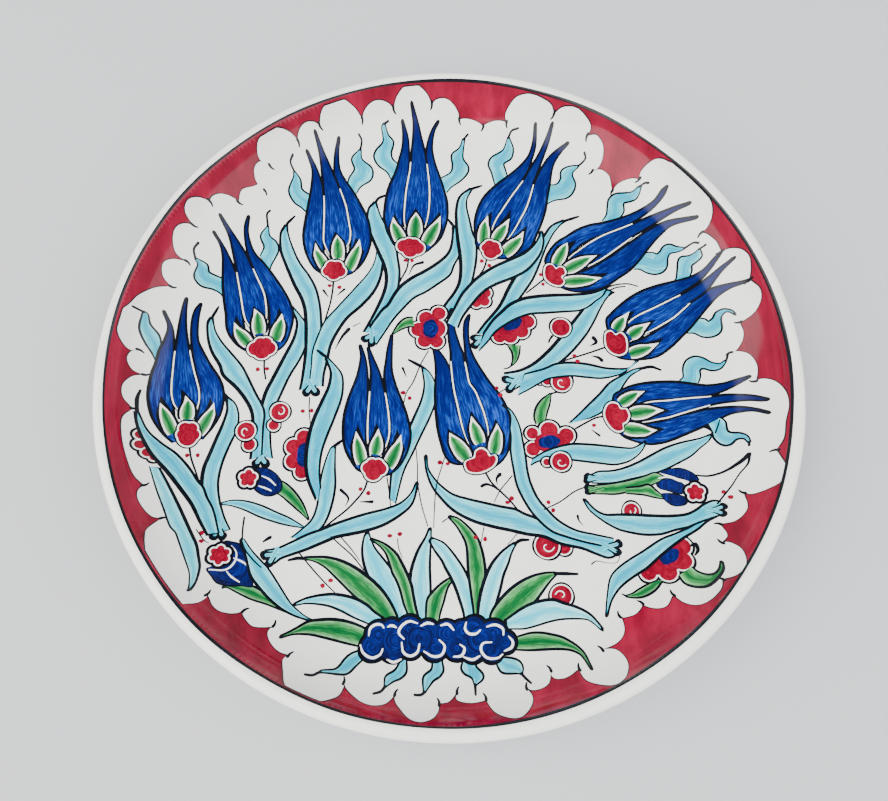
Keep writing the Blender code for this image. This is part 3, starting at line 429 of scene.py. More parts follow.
# pair 9
leaf(9, "-65.3,-73 -61.7,-70.1 -56.7,-65.1 -54.6,-58.7 -54.2,-50.9 -53.1,-42.3 -51,-34.4 -49.3,-32.3", "-60,-72 -53.9,-68.7 -51,-63.7 -49.2,-56.6 -48.5,-49.4 -49,-42.3 -49.3,-32.3", tail="-49.3,-32.3 -45.6,-29.4", wl=0.8, wr=0.9)
leaf(9, "-54.9,-56.6 -59.2,-46.6 -60.4,-38 -59.9,-28.7 -58.1,-20.1 -55.3,-12.3 -52.8,-5.1 -52.4,2 -55.3,8.9", "-54.6,-50.9 -55.6,-43.7 -55.3,-35.1 -53.1,-26.6 -50.3,-18 -48.1,-10.1 -47.8,-3 -49.2,2 -55.3,8.9", tail="-55.3,8.9 -59.9,12.4")
leaf(9, "-76,-78.4 -70.3,-77.4 -65,-75 -58,-71.5 -52.4,-69.4 -46,-66.6 -36,-63 -26,-60.1 -19.6,-57.3 -15.3,-53 -13.1,-48", "-71.7,-83 -68.9,-80.6 -64.6,-78.8 -58.1,-76.3 -49.6,-72.4 -46,-70.9 -36,-68.7 -27.4,-65.9 -20.3,-61.6 -15.3,-56.6 -13.1,-48", wl=1.0, wr=1.2)
toes(piece("leaf_pair_09_line", "line"), "-77.2,-80.0 -74.0,-84.6", 1.5, (-71.6, -79.6))
# pair 10, the long pair below the middle
leaf(10, "69.4,-73.4 63,-71.6 57,-70 50,-67.9 43.7,-66.9 40.9,-65.1 37.3,-63 32.3,-61.2 28.7,-59.4 23,-58.4 15.9,-56.9 8,-55.1 2.3,-53.4 -2,-50.5 -6,-46.5 -9,-41.5 -9.6,-36", "70.9,-76.6 67.3,-77.9 62.3,-76.3 56.6,-74.1 48,-72.3 40.9,-69.4 33.7,-68.4 26.6,-66.9 19.4,-65.5 12.3,-63.7 5.9,-60.9 1.6,-58 -2,-54.4 -6,-49.4 -8.6,-43 -9.6,-36", wl=1.0, wr=1.2)
leaf(10, "70.1,-73.7 64.1,-72.9 57,-71.4 50,-69.4 43.7,-66.9 37.3,-60.9 33,-54.4 30.1,-48 28.7,-40.9 27.6,-33.7 27.7,-26.6 27.3,-23 27.7,-18 26.5,-14.5 24.1,-12.3", "69.8,-70.8 62.3,-69.4 53.7,-67.6 46.6,-63.7 41.6,-58.7 38,-54.4 35.1,-48 33.7,-42.3 33,-35.9 31.9,-28.7 30.9,-23 29.4,-18.7 27.3,-15.1 24.1,-12.3", wl=0.9, wr=0.9)

# pair 11, low at the right
leaf(11, "110.5,-57 107,-59.5 104.1,-64.4 97,-68 89.9,-70.9 82,-76 75.6,-79.9 70.9,-83.4 68,-87 66.6,-92.7 65.1,-102", "114.4,-59.8 108.6,-62.6 104.2,-66 98.4,-69.4 93.0,-73.2 87.2,-77.9 82.6,-81.9 77.8,-85 73.6,-88 70.4,-91 67.6,-95 66.2,-98.4 65.1,-102", wl=0.8, wr=1.0)
leaf(11, "114.2,-60.1 108.7,-61.8 104,-63.5 100.6,-64.8 95.6,-65.9 89.9,-67.6 83.4,-68 77.7,-67.3 72,-65.9 66.6,-63 60.9,-58.7 58,-54.1", "114.9,-55.1 112,-54.6 108.4,-56.2 104.9,-58.7 100.6,-60.5 93.4,-61.2 86.3,-61.2 79.1,-60.9 72,-60.9 66.6,-60.9 62.3,-58.7 58,-54.1", wl=0.9, wr=1.1)
toes(piece("leaf_pair_11_line", "line"), "117.2,-56.4 116.4,-60.6", 1.2, (111.6, -58.2))
# the leaf between the two middle tulips
leaf(9, "-24.2,-55.1 -23.5,-43.7 -20.6,-33.5 -17.4,-25.9 -14.6,-18.7 -11.7,-10.9 -10.6,-3.7 -11.4,2 -12,5", "-22.4,-57.3 -19.6,-43.7 -16,-35.1 -12.4,-26.6 -8.9,-18.7 -6.4,-10.9 -6.4,-3.7 -8.9,2 -12,5", tail="-12,5 -18.5,8.5", wl=1.0, wr=0.8)
# the pale leaf under the left bud
leaf(2, "-60.3,-67.9 -66.7,-66.9 -72,-65.6 -79,-63.4 -85.7,-60.6 -91.5,-59 -96.1,-58.6", "-60.3,-67.9 -66.7,-64.4 -72,-62.3 -79,-59.4 -85.7,-57.6 -91.5,-57.4 -96.1,-58.6", wl=0.7, wr=0.7)

# ---------------------------------------------------------------- tulips


def tulip(no, petals, sepals, cup, stem=None, order=(0, 2, 1), cup_turn=90, stem_w=(0.95, 0.9, 0.85)):
    """Three cobalt petals, three green sepals in white pockets, and a red cup, on a thin stem."""
    n = f"{no:02d}"
    line = piece(f"tulip_{n}_line", "line", f"tulip_{n}_petals")
    blue = piece(f"tulip_{n}_cobalt", "cobalt", f"tulip_{n}_petals")
    green = piece(f"tulip_{n}_green", "green", f"tulip_{n}_sepals")
    red = piece(f"tulip_{n}_red", "red", f"tulip_{n}_cup")
    if stem:
        stroke(line, P(stem), stem_w)
    for k in order:
        left, right = petals[k]
        outlined(line, blue, P(left), P(right), 1.05, 0.95, step=1.0)
        if k != 1:
            continue
        # the white slits, left bare beside the middle petal
    left, right = petals[1]
    for edge, out in ((left, 1), (right, -1)):
        c = curve(P(edge), 1.0)
        m = len(c)
        a, b = int(m * 0.10), int(m * 0.66)
        c = c[a:b]
        q = curve(P(right if out > 0 else left), 1.0)
        q = resample(q, m)[a:b]
        away = c - q
        away = away / (np.linalg.norm(away, axis=1)[:, None] + 1e-9)
        stroke(GROUND, (c + away * 0.62)[::5], (0.25, 0.55, 0.8, 0.75, 0.5), step=1.1)
        stroke(line, (c + away * 1.12)[::5], (0.3, 0.5, 0.55, 0.4), step=1.1)
    for (bx, by, tx, ty, w, px, py, kx, ky) in sepals:
        b, t = np.array([bx, by]), np.array([tx, ty])
        d = (t - b) / np.linalg.norm(t - b)
        nrm = np.array([-d[1], d[0]])
        b0 = b - d * 1.5
        ln = np.linalg.norm(t - b)
        bend = np.array([px, py]) - t
        peak = np.array([kx, ky])

        def leaf_shape(grow, end, foot=0.0):
            u = np.array([0.0, 0.12, 0.3, 0.5, 0.7, 0.88])
            prof = np.array([0.72, 0.95, 1.06, 1.0, 0.82, 0.5])
            spine = b0 - d * foot + (t - b0) * u[:, None]
            lft = np.vstack([spine + nrm * ((w * 1.12 * prof + grow)[:, None]), end])
            rgt = np.vstack([spine - nrm * ((w * 1.12 * prof + grow)[:, None]), end])
            return lft, rgt
        l2, r2 = leaf_shape(1.95, peak)
        strip(line, l2, r2, step=0.8)
        l1, r1 = leaf_shape(0.75, np.array([px, py]))
        strip(GROUND, l1, r1, step=0.8)
        l0, r0 = leaf_shape(0.0, t + d * 0.4)
        strip(green, l0, r0, step=0.8)
    if isinstance(cup, str):
        pts = curve(P(cup), 0.7, closed=True)[:-1]
        c = pts.mean(axis=0)
        rr = np.linalg.norm(pts - c, axis=1)[:, None]
        put(line, c + (pts - c) * (1 + 1.25 / rr), centre=c, radius=5)
        put(GROUND, c + (pts - c) * (1 + 0.55 / rr), centre=c, radius=5)
        put(red, c + (pts - c) * (1 - 0.15 / rr), centre=c, radius=float(rr.mean()))
    else:
        for paint_piece, grow in ((line, 1.25), (GROUND, 0.55), (red, -0.1)):
            for x, y, r in cup:
                blob(paint_piece, (x, y), r + grow)


def cup3(cx, cy, top, left, right, bottom):
    """A scalloped cup as round lobes (x, y, radius): one to each side, two at the mouth and the rounded base."""
    c, t, l, r, b = (np.array(v, float) for v in ((cx, cy), top, left, right, bottom))
    up = (t - b) / np.linalg.norm(t - b)
    across = (r - l) / np.linalg.norm(r - l)
    out = []
    for p, share in ((l, 0.52), (r, 0.52)):
        out.append((*(c + (p - c) * (1 - share) - up * 0.2), share * np.linalg.norm(p - c) * 1.0))
    h = np.linalg.norm(t - c)
    out.append((*(c + up * h * 0.42 - across * 1.3), h * 0.50))
    out.append((*(c + up * h * 0.42 + across * 1.3), h * 0.50))
    d = np.linalg.norm(b - c)
    out.append((*(c + (b - c) * 0.30), d * 0.70))
    return [tuple(float(v) for v in o) for o in out]


tulip(1, [
    ("-118.6,-32.3 -122.9,-28.7 -127.1,-23 -129.3,-17.3 -130.4,-10.9 -130.1,-2.3 -129.3,2.4 -128.6,8.9 -127.1,14.6 -126.4,21 -128.9,27.4", "-113,-30 -119,-24 -121.5,-15 -122.6,-8 -123,-2 -123.6,6 -124.3,13.1 -125.4,20.3 -128.9,27.4"),
    ("-113.5,-29 -116.5,-20 -120.5,-14 -122,-8 -122.3,-2 -122.5,6 -122.3,15.3 -122,24.6 -121.4,31.7 -120.6,35.6", "-113,-29 -112,-20 -110.8,-12 -112,-6 -114.3,0.3 -116.8,8.1 -118.6,14.6 -120,21.7 -120.6,28.9 -120.6,35.6"),
    ("-113,-30 -109.5,-18 -109.8,-11 -110.5,-5 -112.9,1.7 -115,9.6 -116.4,16.7 -117.1,24.6 -116.4,30.3 -114.4,33.9", "-107.1,-30.1 -103.6,-25.1 -100.7,-18.7 -100,-12.3 -100.7,-7.3 -102.9,-2.3 -107.9,4.6 -111.4,10.3 -114.3,16 -115.1,23.1 -115,28.9 -114.4,33.9")],
    [(-120, -27.3, -125, -17.3, 1.7, -126.1, -15.1, -126.2, -11.6), (-114.6, -20.1, -115, -13, 2.0, -116.4, -10.5, -118.6, -7.3), (-108.2, -26.6, -103.6, -16.6, 1.9, -103.6, -13.4, -105.4, -10.9)],
    cup3(-113.2, -28, (-114.3, -22.6), (-117.9, -28.7), (-108.2, -28.7), (-113.2, -33.7)),
    "-112.1,-33 -110.7,-38.7 -107.9,-45.1 -105,-51.6")
tulip(2, [
    ("-86,11 -90.7,11.6 -96.4,15.3 -100.7,21.7 -102.1,29.6 -103.6,36 -105,43.9 -105.7,51 -106.3,58.1 -107.9,63.9 -111.1,68.9", "-86,12 -92,18 -94.5,24 -95.7,30.3 -97.1,37.4 -98.9,43.9 -100.7,50.3 -103.6,56.7 -107,63 -111.1,68.9"),
    ("-85,12 -88.5,20 -92.5,26 -94.6,31.7 -96.1,38.1 -97.9,45.3 -100,53.9 -102.1,61.7 -104.3,68.9 -108.6,77.1", "-84,12 -85,20 -84.6,27 -85.4,34.6 -87.1,41 -90.7,48.1 -94.3,55.3 -98.6,63.1 -103.6,70.3 -108.6,77.1"),
    ("-84,12 -81.5,18 -82,26 -82.9,33.1 -85.7,41.7 -89.3,48.1 -92.9,55.3 -95.4,61.7 -97.1,68.9 -97.5,74.6 -96.4,79.3", "-80,10.3 -75,15.3 -72.9,22.4 -72.5,29.6 -74.3,35.3 -77.9,41.7 -82.9,48.9 -87.9,55.3 -92.9,61 -95.7,67.4 -96.8,73 -96.4,79.3")],
    [(-91.8, 15.6, -97.5, 22.1, 1.9, -98.6, 25.3, -98.2, 29.2), (-86.8, 21.4, -88.4, 30.3, 2.0, -90, 32.4, -90.7, 33.9), (-78.9, 18.1, -77.1, 27.1, 2.0, -77.1, 30.3, -78.6, 33.1)],
    cup3(-84.6, 13.1, (-83.9, 18.5), (-91.0, 12.4), (-78.4, 13.1), (-84.6, 7.6)),
    "-83.2,8.2 -82.9,3.1 -81.8,-2")
tulip(3, [
    ("-57,51 -60.3,51.6 -63.9,54.6 -66.7,59.6 -68.5,64.6 -69.6,71.7 -69,81.4 -68.3,89.3 -67.6,97.1 -67.4,104.3 -68.5,108.6 -70.4,113.2", "-56,52 -59.5,56 -60.6,64 -61,72 -61.5,82.1 -62.1,90.7 -63.1,97.1 -64.6,102.1 -66.7,107.1 -70.4,113.2"),
    ("-55,52 -56,60 -59.3,66 -60.1,72 -60.4,78.6 -60.9,89.3 -61.7,96.4 -62.8,104.3 -63.5,109.3 -64.6,115 -66.4,121.2", "-54.5,52 -53,60 -49.5,66 -48.5,72 -49.9,80 -51.4,87.1 -54.6,95.7 -56.9,101.4 -59.9,107.9 -63.1,114.3 -66.4,121.2"),
    ("-53,52 -49.5,55 -47.5,62 -47.3,70 -50.5,82 -52.6,88 -55.4,96.5 -56.6,100.7 -57.1,107.1 -56.9,114.3 -55.4,121.1", "-52,51 -47.4,51.3 -43.1,55.3 -40.3,61 -38.9,66.7 -38.9,72 -40.6,80 -43.9,87.1 -47.8,94.3 -52.4,101.4 -55.3,107.1 -56.1,114.3 -55.4,121.1")],
    [(-59.2, 54.9, -63.9, 63.1, 1.5, -64.2, 67.1, -64.6, 68.9), (-53.1, 60.6, -54, 69.9, 2.0, -54.4, 71.6, -55.3, 73.5), (-47.4, 54.6, -43.5, 66, 1.8, -43.5, 69.6, -45.3, 70.6)],
    cup3(-54.6, 52.4, (-54.6, 58.1), (-60.0, 52.8), (-49.0, 52.4), (-54.6, 47.8)),
    "-54.6,48 -54.6,43.1 -55.3,36 -57.3,26.7")
tulip(4, [
    ("-22,65 -26.5,67 -28.9,71.7 -30.3,75 -31.7,81.4 -31.6,87.1 -30.9,94.3 -29.6,100 -27.1,107.1 -25.6,114.3 -24.4,120 -24.2,126.4 -24.9,131.3", "-20,66 -24,70 -23.8,76 -23.5,82.1 -23.3,92.9 -22.4,101.4 -21.7,110.7 -21.9,117.9 -22.6,125 -24.9,131.3"),
    ("-19.5,66 -19.5,72 -21.9,78.6 -22.1,89.3 -21.4,100 -20.3,107.1 -19.7,117.9 -19.2,125 -19.2,131.4 -20.4,137.7", "-18,66 -15,72 -12.8,78.6 -11.7,85.7 -11.4,92.9 -11.7,100 -12.4,105.7 -13.5,114.3 -14.4,119.3 -16,125 -17.8,131.4 -20.4,137.7"),
    ("-16,64 -12,68 -11.5,76 -10.9,85.7 -10.6,92.9 -11.4,101.4 -12.4,110 -12.6,115.7 -12.1,122.1 -10.3,127.9 -7.4,132", "-16,63 -13.1,63 -8.9,66.7 -5.6,71 -3.9,76 -2.8,81 -2.6,85.7 -3.1,91.4 -4.6,97.1 -6.4,103.6 -8.5,110 -9.9,115.7 -10.6,121.4 -9.6,127.9 -7.4,132")],
    [(-23.9, 69.2, -28.1, 78.6, 1.9, -28, 81.8, -27.4, 83.9), (-17.4, 72.5, -17.1, 82.9, 2.3, -17.1, 84.6, -17.4, 87.1), (-11.4, 68.9, -6.4, 79.3, 2.1, -5.3, 82.9, -5.6, 85.7)],
    cup3(-19.2, 65.6, (-17.4, 70.6), (-25.6, 67.4), (-12.6, 65.3), (-19.6, 60.3)),
    "-19.9,61 -20.6,54.6 -23.1,48.9 -24.4,45.3")
tulip(5, [
    ("16,63 14,65 12.2,67.6 11.9,72 11.6,80 13.4,87.9 16.6,94.3 21.6,100 28.7,106.4 33.7,111.4 37.6,116.4 39.6,122.9 40,129.6", "18,65 18.2,70 18.7,74.3 20.9,82.1 24.4,88.6 28,94.3 32.3,101.4 35.9,107.9 38.4,115 40.1,121.4 40,129.6"),
    ("18.5,65 19.2,71 19.4,74.3 21.6,80.7 25.5,87.9 30.1,95.7 34.4,102.1 38,109.3 42.3,116.4 45.5,122.9 48,128.7", "20,65 24.5,69 28.7,75 31.6,80.7 35.1,87.9 37.3,95 39.1,102.1 41.2,108.6 44.4,117.1 46.6,122.9 48,128.7"),
    ("20,63 25.3,68 29.4,74.3 33,80 35.9,87.1 37.6,92.9 39.8,100 41.9,105.7 44.4,110.7 47.3,115 50.9,117.9 55.9,120.5", "21,61 24.4,60.8 29.4,61.7 35.1,65.3 37.6,68.1 40.1,74.3 42.3,80 44.4,87.1 45.5,94.3 46.9,101.4 48,108.6 49.4,112.9 52.3,117.1 55.9,120.5")],
    [(15.1, 70, 15.9, 80, 1.8, 17.3, 83.6, 19.4, 86.1), (21.6, 71.4, 25.9, 78.6, 1.8, 27.6, 82.1, 28.4, 87.1), (25.9, 63.9, 33, 71.7, 2.1, 34.4, 75.4, 36.2, 78.6)],
    cup3(18.9, 65.3, (19.6, 70.2), (14.3, 67.4), (23.6, 64.0), (17.9, 60.4)),
    "16.9,60.5 15.5,55.3 13,51 11.2,48.1")
tulip(6, [
    ("49,53 44.8,58.1 45.9,63.1 50.1,68.9 55.1,72.4 60.1,76 66,78.6 72,80 79.1,82.1 86.3,84.6 92,87.1 96.3,89.6 99.1,92.9 100.9,93.9", "50,53 52,58 58,66 64,71 70.5,74.2 77,77.2 82.7,79.4 87.7,82.1 92.7,85 97,88.2 99.9,91.4 100.9,93.9"),
    ("50,52 54,59 60,64.6 66,69.4 72,73.2 78,76 82.7,78 87.7,80 93.4,82.1 99.1,83.6 104.9,84.5 110.6,84.3", "50,52 56,54 62,56.8 68,60 74,64.2 80,69 86.3,74.2 91.3,77.1 95.6,79.3 100.6,81.8 105.6,83.6 110.6,84.3"),
    ("50,51 56,52.6 62,54.2 68,57.2 74,61.2 81.3,66.8 86.3,70.6 90.6,73.9 93.4,75.7 98.4,78.2 103.4,79.1 109.1,78.6 113.8,77.7", "49,49 50.1,47.1 55.1,44.9 60.9,44.4 66.6,45.3 72,47.4 77.7,51.7 83.4,56 88.4,61.7 92.7,67.4 96.3,71.7 99.9,75 102.7,77.1 107,77.9 113.8,77.7")],
    [(49.8, 59.2, 54.1, 68.1, 1.8, 55.0, 69.6, 59.6, 71), (54.8, 55.6, 65.1, 61.7, 2.0, 68.7, 63.1, 71.4, 63.9), (54.4, 48.9, 67.3, 50.3, 1.9, 70.5, 51.4, 74.0, 54.2)],
    "44.2,56.4 43.7,52.6 44.8,49.4 48.0,47.2 51.2,47.0 52.8,49.2 51.6,51.4 53.5,53.2 52.6,56.2 50.4,56.6 49.2,55.6 47.6,57.6 45.8,57.8",
    "44.1,50.6 40.1,47.1 35.1,42.8")
tulip(7, [
    ("73,18 72.5,24 72,29.6 74.1,32.4 77.7,36 82.7,40.3 88.4,43.9 94.9,46.7 100.6,48.5 106.3,49.9 112,51.4 117,53.9 121.3,58.1 123.4,59.9", "76,19 79,26 83,31 87.7,34.1 93.4,36.8 99.1,39.9 104.9,43.4 109.9,46.5 114.9,49.7 119.1,53.9 122,57.8 123.4,59.9"),
    ("75,18 80,26 85.6,31.3 91.3,34.4 97,37.4 102.7,40.5 108.4,43.5 113.4,46.4 118.4,49.6 123.4,53.1 128.1,55.6", "76,17 81,19.6 86.3,22.7 92,25.6 98.4,29.5 102.7,32.4 107,36.4 110.6,39.8 112.7,41 117.7,44.6 123.4,51.7 128.1,55.6"),
    ("76,17 82,18 89.1,21 95.6,25 102,30 107.7,35.4 112,39.4 116.3,42.5 120.6,44.5 126.3,44.8 130.6,44.2 133.4,43.9", "74,14 76.3,11.7 81.3,10.9 88.4,11.4 94.1,13.1 99.9,17.4 104.9,22.4 109.1,26.7 113.4,31.7 117.7,36.7 122,41 127,43.5 131.3,43.9 133.4,43.9")],
    [(76.3, 26, 79.5, 31, 1.8, 82.4, 34.2, 84.9, 34.7), (83.1, 22.8, 88.1, 26.7, 1.9, 91.6, 28.9, 94.1, 30.3), (82.7, 13.6, 91.3, 16.7, 1.9, 94.9, 18.9, 97.4, 21.4)],
    "70.6,20.4 71.0,16.6 73.0,13.8 76.4,12.6 79.4,14.0 80.2,17.0 79.8,21.2 77.6,23.6 75.4,22.4 73.6,24.2 71.2,23.4",
    "70.9,16.4 62.3,13.1 55.1,10.6 49.4,8.5")
tulip(8, [
    ("73,-12 73.4,-7.4 76,-5.3 80.6,-3 85.6,-1.7 91,-0.9 100.6,-0.5 107.7,-1.2 114.9,-1.9 122,-1.2 126.3,-0.1 132,0.9", "76,-14 82,-10.9 86.3,-9.2 92,-8.1 97.7,-7.6 103.4,-7 109.1,-6.4 114.9,-5.7 120.6,-4.2 126.3,-1.9 132,0.9"),
    ("76,-15 82.7,-12.3 88.4,-10.3 95.6,-9.5 102,-8.6 109.1,-7.8 114.9,-7.3 122,-6.7 127.7,-7.3 132.7,-8.7 137,-11.3", "76,-17 83.4,-18.6 90.6,-17.3 96.3,-16.2 103.4,-13.9 110.6,-11.6 117.7,-9.7 124.9,-9.2 130.6,-9.6 134.9,-10.9 137,-11.3"),
    ("76,-19 84.9,-20.2 93.4,-18.9 102,-16.2 109.1,-14.3 114.9,-13 122,-12.5 127.7,-13 132.7,-14.8 136.6,-17.4", "73,-20 75.6,-24.4 79.1,-26.6 86.3,-28.4 92,-28 97.7,-26.2 103.4,-23.7 109.1,-21.2 114.9,-18.7 118.4,-16.9 123.4,-14.8 129.1,-14.4 132.7,-15.1 136.6,-17.4")],
    [(77, -9.8, 83.6, -5.5, 1.7, 87, -4.6, 88.4, -4.3), (81.6, -15.1, 91.3, -13.4, 2.1, 94.9, -13.4, 97.7, -13.4), (78.4, -22.3, 88.4, -23.4, 2.0, 91.3, -22.6, 94.9, -21.9)],
    "68.6,-16.4 69.4,-12.4 71.6,-10.4 74.4,-10.8 75.8,-13.0 78.2,-13.2 79.3,-16.2 78.0,-19.0 76.4,-20.0 76.4,-22.6 73.6,-23.4 70.6,-21.0",
    "55.5,-22.6 60.9,-19.4 65.1,-17.3 69,-16.7")
tulip(9, [
    ("-33,-42 -37.4,-42.9 -40.3,-40.1 -43.9,-33.7 -45.3,-26.6 -45.3,-18.7 -43.9,-10.9 -41.7,-3.7 -40.3,2 -39.6,9.6 -40.5,15", "-33,-42 -35.5,-38 -36.4,-26.6 -36,-18 -36.4,-8.7 -37.1,2 -38.3,9 -40.5,15"),
    ("-32,-42 -33,-36 -34.4,-30 -34.9,-19.4 -34.6,-8.7 -34.6,2 -35.8,8.5 -36.8,14", "-31,-42 -29.5,-36 -26.9,-30 -26.4,-23 -27.4,-15.1 -29.2,-6.6 -31.7,2 -34.3,8.1 -36.8,14"),
    ("-29,-42 -25.5,-33 -25.7,-25 -26,-15.9 -27.4,-7.3 -28.5,1 -28.1,7.4 -27.6,14 -26.4,20.3", "-28,-44 -25.3,-44.3 -21,-40.1 -18.1,-33.7 -17.1,-26.6 -18.5,-19.4 -21,-12.3 -23.9,-5.1 -26,2 -26.4,8 -26.4,20.3")],
    [(-37.4, -38.7, -39.9, -28.7, 1.7, -40.3, -25.5, -39.6, -22.6), (-31.4, -34.4, -30.6, -27.3, 1.8, -30.6, -24.1, -31.7, -21.6), (-25.3, -40.1, -21, -30.1, 1.9, -20.6, -26.6, -22.4, -24.1)],
    cup3(-31.7, -42.3, (-31.4, -37.4), (-36.8, -41.0), (-26.2, -41.6), (-32.8, -47.3)),
    "-34.2,-47 -36,-52.3 -41.7,-59.4 -47.4,-64.4 -52.4,-68.7")
tulip(10, [
    ("10,-39 2.3,-38.7 -0.9,-35.1 -2.4,-30.6 -4.0,-24 -4.9,-17.4 -5.4,-11 -5.6,-5.1 -5.5,2 -6.2,9 -7.4,15.3", "12,-37 8,-31 6,-24 4.1,-17.3 2.7,-10.9 1.3,-3.7 0.3,2.6 -1.6,7.4 -4.2,11.6 -7.4,15.3"),
    ("13,-37 8.4,-28 6,-20 4.2,-12 2.6,-5 1.6,3.1 1.2,7.4 0.9,13.1 0,18.9 -0.4,24.6 -0.2,29.6 0.5,33.9", "15,-37 16.9,-28 15.6,-18.6 13,-10.9 10.4,-4.6 8.4,-2 7.6,1.7 6.6,6 5.5,11.7 3.7,16.7 1.9,23.1 1,29.6 0.5,33.9"),
    ("16,-37 17.6,-27 16.4,-18.4 14,-10.9 11.2,-4.6 9.6,-1 8.7,3.9 8,9.6 7.3,15.3 6.7,21.7 6.9,27.4 8.7,31", "17,-40 19.4,-40.1 23,-37.3 25.5,-33 26.2,-28 26.6,-22.3 26.2,-17.3 24.4,-12.3 21.6,-7.3 17.6,-2 13,5.3 10.1,11 8.7,15.3 8,20.3 8,26 8.7,31")],
    [(7.3, -35.9, 1.2, -27.3, 2.2, 0.4, -25.4, -0.4, -23.6), (13.4, -28.7, 10.5, -20.5, 1.8, 9.9, -17.6, 9.8, -15.2), (20.1, -33, 21.6, -23.4, 1.9, 21.2, -20.8, 20.6, -18.7)],
    "7.6,-40.6 7.6,-38.4 9.6,-37.2 11.4,-36.4 12.0,-33.7 14.4,-32.3 16.9,-33.7 17.8,-35.6 20.0,-35.2 20.9,-37.3 19.4,-40.1 15.9,-42.3 12.3,-43.2 8.9,-42.6",
    "15.9,-42.5 18.7,-47.3 22.3,-50.9 26.6,-55.1 30.1,-59.4")

# ---------------------------------------------------------------- rosettes, berries and buds


def lobes_path(text, r_text=None):
    return P(text)


def rosette(no, line_pts, red_lobes, cobalt, grow=1.4, clip=None):
    """A half flower: red scalloped petals with a white edge and a dark line, round a cobalt heart."""
    line = piece(f"rosette_{no}_line", "line", *([f"rosette_{no}_petals"] if no <= 5 else []))
    red = piece(f"rosette_{no}_red", "red", *([f"rosette_{no}_petals"] if no <= 5 else []))
    blue = piece(f"rosette_{no}_cobalt", "rock", *([f"rosette_{no}_petals"] if no <= 5 else []))
    for (x, y, r) in red_lobes:
        blob(line, (x, y), r + 1.55, wobble=0.02)
    for (x, y, r) in red_lobes:
        blob(GROUND, (x, y), r + 0.6)
    for (x, y, r) in red_lobes:
        blob(red, (x, y), r)
    for (x, y, a, b, turn) in cobalt:
        blob(red, (x, y), a + 1.6, b + 1.6, turn)
        blob(blue, (x, y), a, b, turn, lobes=5, depth=0.10)


rosette(2, None, [(35.4, 28.2, 3.2), (32.6, 23.4, 3.2), (27.4, 20.8, 3.3), (22.6, 20.6, 3.0), (26, 24.6, 4.0), (31, 27.4, 3.6)], [(28.4, 27.0, 5.0, 3.0, 28)])
rosette(6, None, [(16.2, 42.4, 2.5), (15.6, 38.2, 2.5), (11.9, 37.2, 2.2), (13.4, 40.2, 2.6)], [(12.6, 41.2, 2.2, 1.4, 40)])
leaf(6, "16,22 20,28 24.4,32.6 28,36 33.7,38.9 40.9,40.3 48,41 55.1,41.4 62.3,42.1 68,43.5 72.3,46", "12.3,13.1 16.6,18.1 20.1,23.1 24.4,26.7 30.1,30.3 36.6,32.8 44.4,33.5 52.3,34.2 59.4,34.9 63.7,37.1 66.6,39.6 70.1,42.4 72.3,46")
leaf(5, "-1,27 2.5,34 5.5,40.3 8,43.9 12.3,48.9 17.3,53.1 23,56.7 29.4,59.9 35.1,63.1 39.4,67.4 41.9,71.7 42.8,75.3", "3,24.6 5.1,30.3 8.7,36 12.3,41 16.6,45.3 22.3,48.5 29.4,51.7 35.1,55.3 39.4,60.3 41.9,64.6 43.1,69.6 42.8,75.3", wl=1.3, wr=1.2)
G_LINE = piece("small_leaves_line", "line")
G_FILL = piece("small_leaves_green", "green")


def small_leaf(left, right, tail=None, w=0.85):
    outlined(G_LINE, G_FILL, P(left), P(right), w, w * 0.8, tail, step=0.7, tail_w=(1.0, 0.8, 0.6))


small_leaf("26.6,16.4 28.6,13.0 28.9,9.8 28.0,6.7", "31.6,16.6 31.0,12.4 29.9,9.0 28.0,6.7", "28,6.7 26.4,5.4 24.4,4.9")
rosette(1, None, [(-5.3, 31.6, 3.2), (-11.0, 29.0, 3.4), (-14.4, 23.4, 3.4), (-11.4, 18.0, 3.3), (-6.0, 17.6, 3.0), (-6.6, 24.0, 4.6)], [(-8.9, 23.9, 3.6, 4.8, 0)])
small_leaf("-17.0,29.0 -20.0,28.6 -23.0,26.0 -26.0,21.0", "-16.4,25.0 -19.0,25.0 -22.4,23.6 -26.0,21.0")
rosette(3, None, [(-62.8, -28.6, 3.2), (-67.0, -33.0, 3.4), (-66.6, -39.4, 3.4), (-62.6, -44.0, 3.1), (-62.4, -36.6, 4.6)], [(-62.8, -36.6, 2.6, 5.6, 0)])
leaf(9, "-54.9,-56.6 -59.2,-46.6 -60.4,-38 -59.9,-28.7 -58.1,-20.1 -55.3,-12.3 -52.8,-5.1 -52.4,2 -55.3,8.9", "-54.6,-50.9 -55.6,-43.7 -55.3,-35.1 -53.1,-26.6 -50.3,-18 -48.1,-10.1 -47.8,-3 -49.2,2 -55.3,8.9")
rosette(4, None, [(36.6, -25.0, 2.6), (44.0, -23.6, 3.9), (51.4, -25.8, 3.4), (36.8, -32.2, 3.0), (43.6, -29.2, 4.8), (49.6, -29.4, 3.4)], [(43.9, -28.8, 5.0, 3.0, 8)])
leaf(8, "37,-36.6 42,-33.7 46.6,-31.9 50.9,-30.7 55.1,-30.1 62.3,-30.3 69,-30.8 76.3,-31.4 80.6,-31.2 84.9,-28.7 85.6,-28", "35,-39.4 38.7,-37.3 43.7,-35.9 48,-35.7 55.5,-36.4 60.1,-36.9 66.6,-37.6 72,-38 77.7,-36.6 82,-33.7 84.9,-30.1 85.6,-28", wl=0.9, wr=0.8)
small_leaf("38.7,-20.9 38,-17.3 39.1,-13 41.6,-9.4 45.1,-6.6", "42.3,-18.7 43,-15.1 44.1,-11.6 45.1,-6.6", "45.1,-6.6 47.4,-5.9 50.0,-5.6")
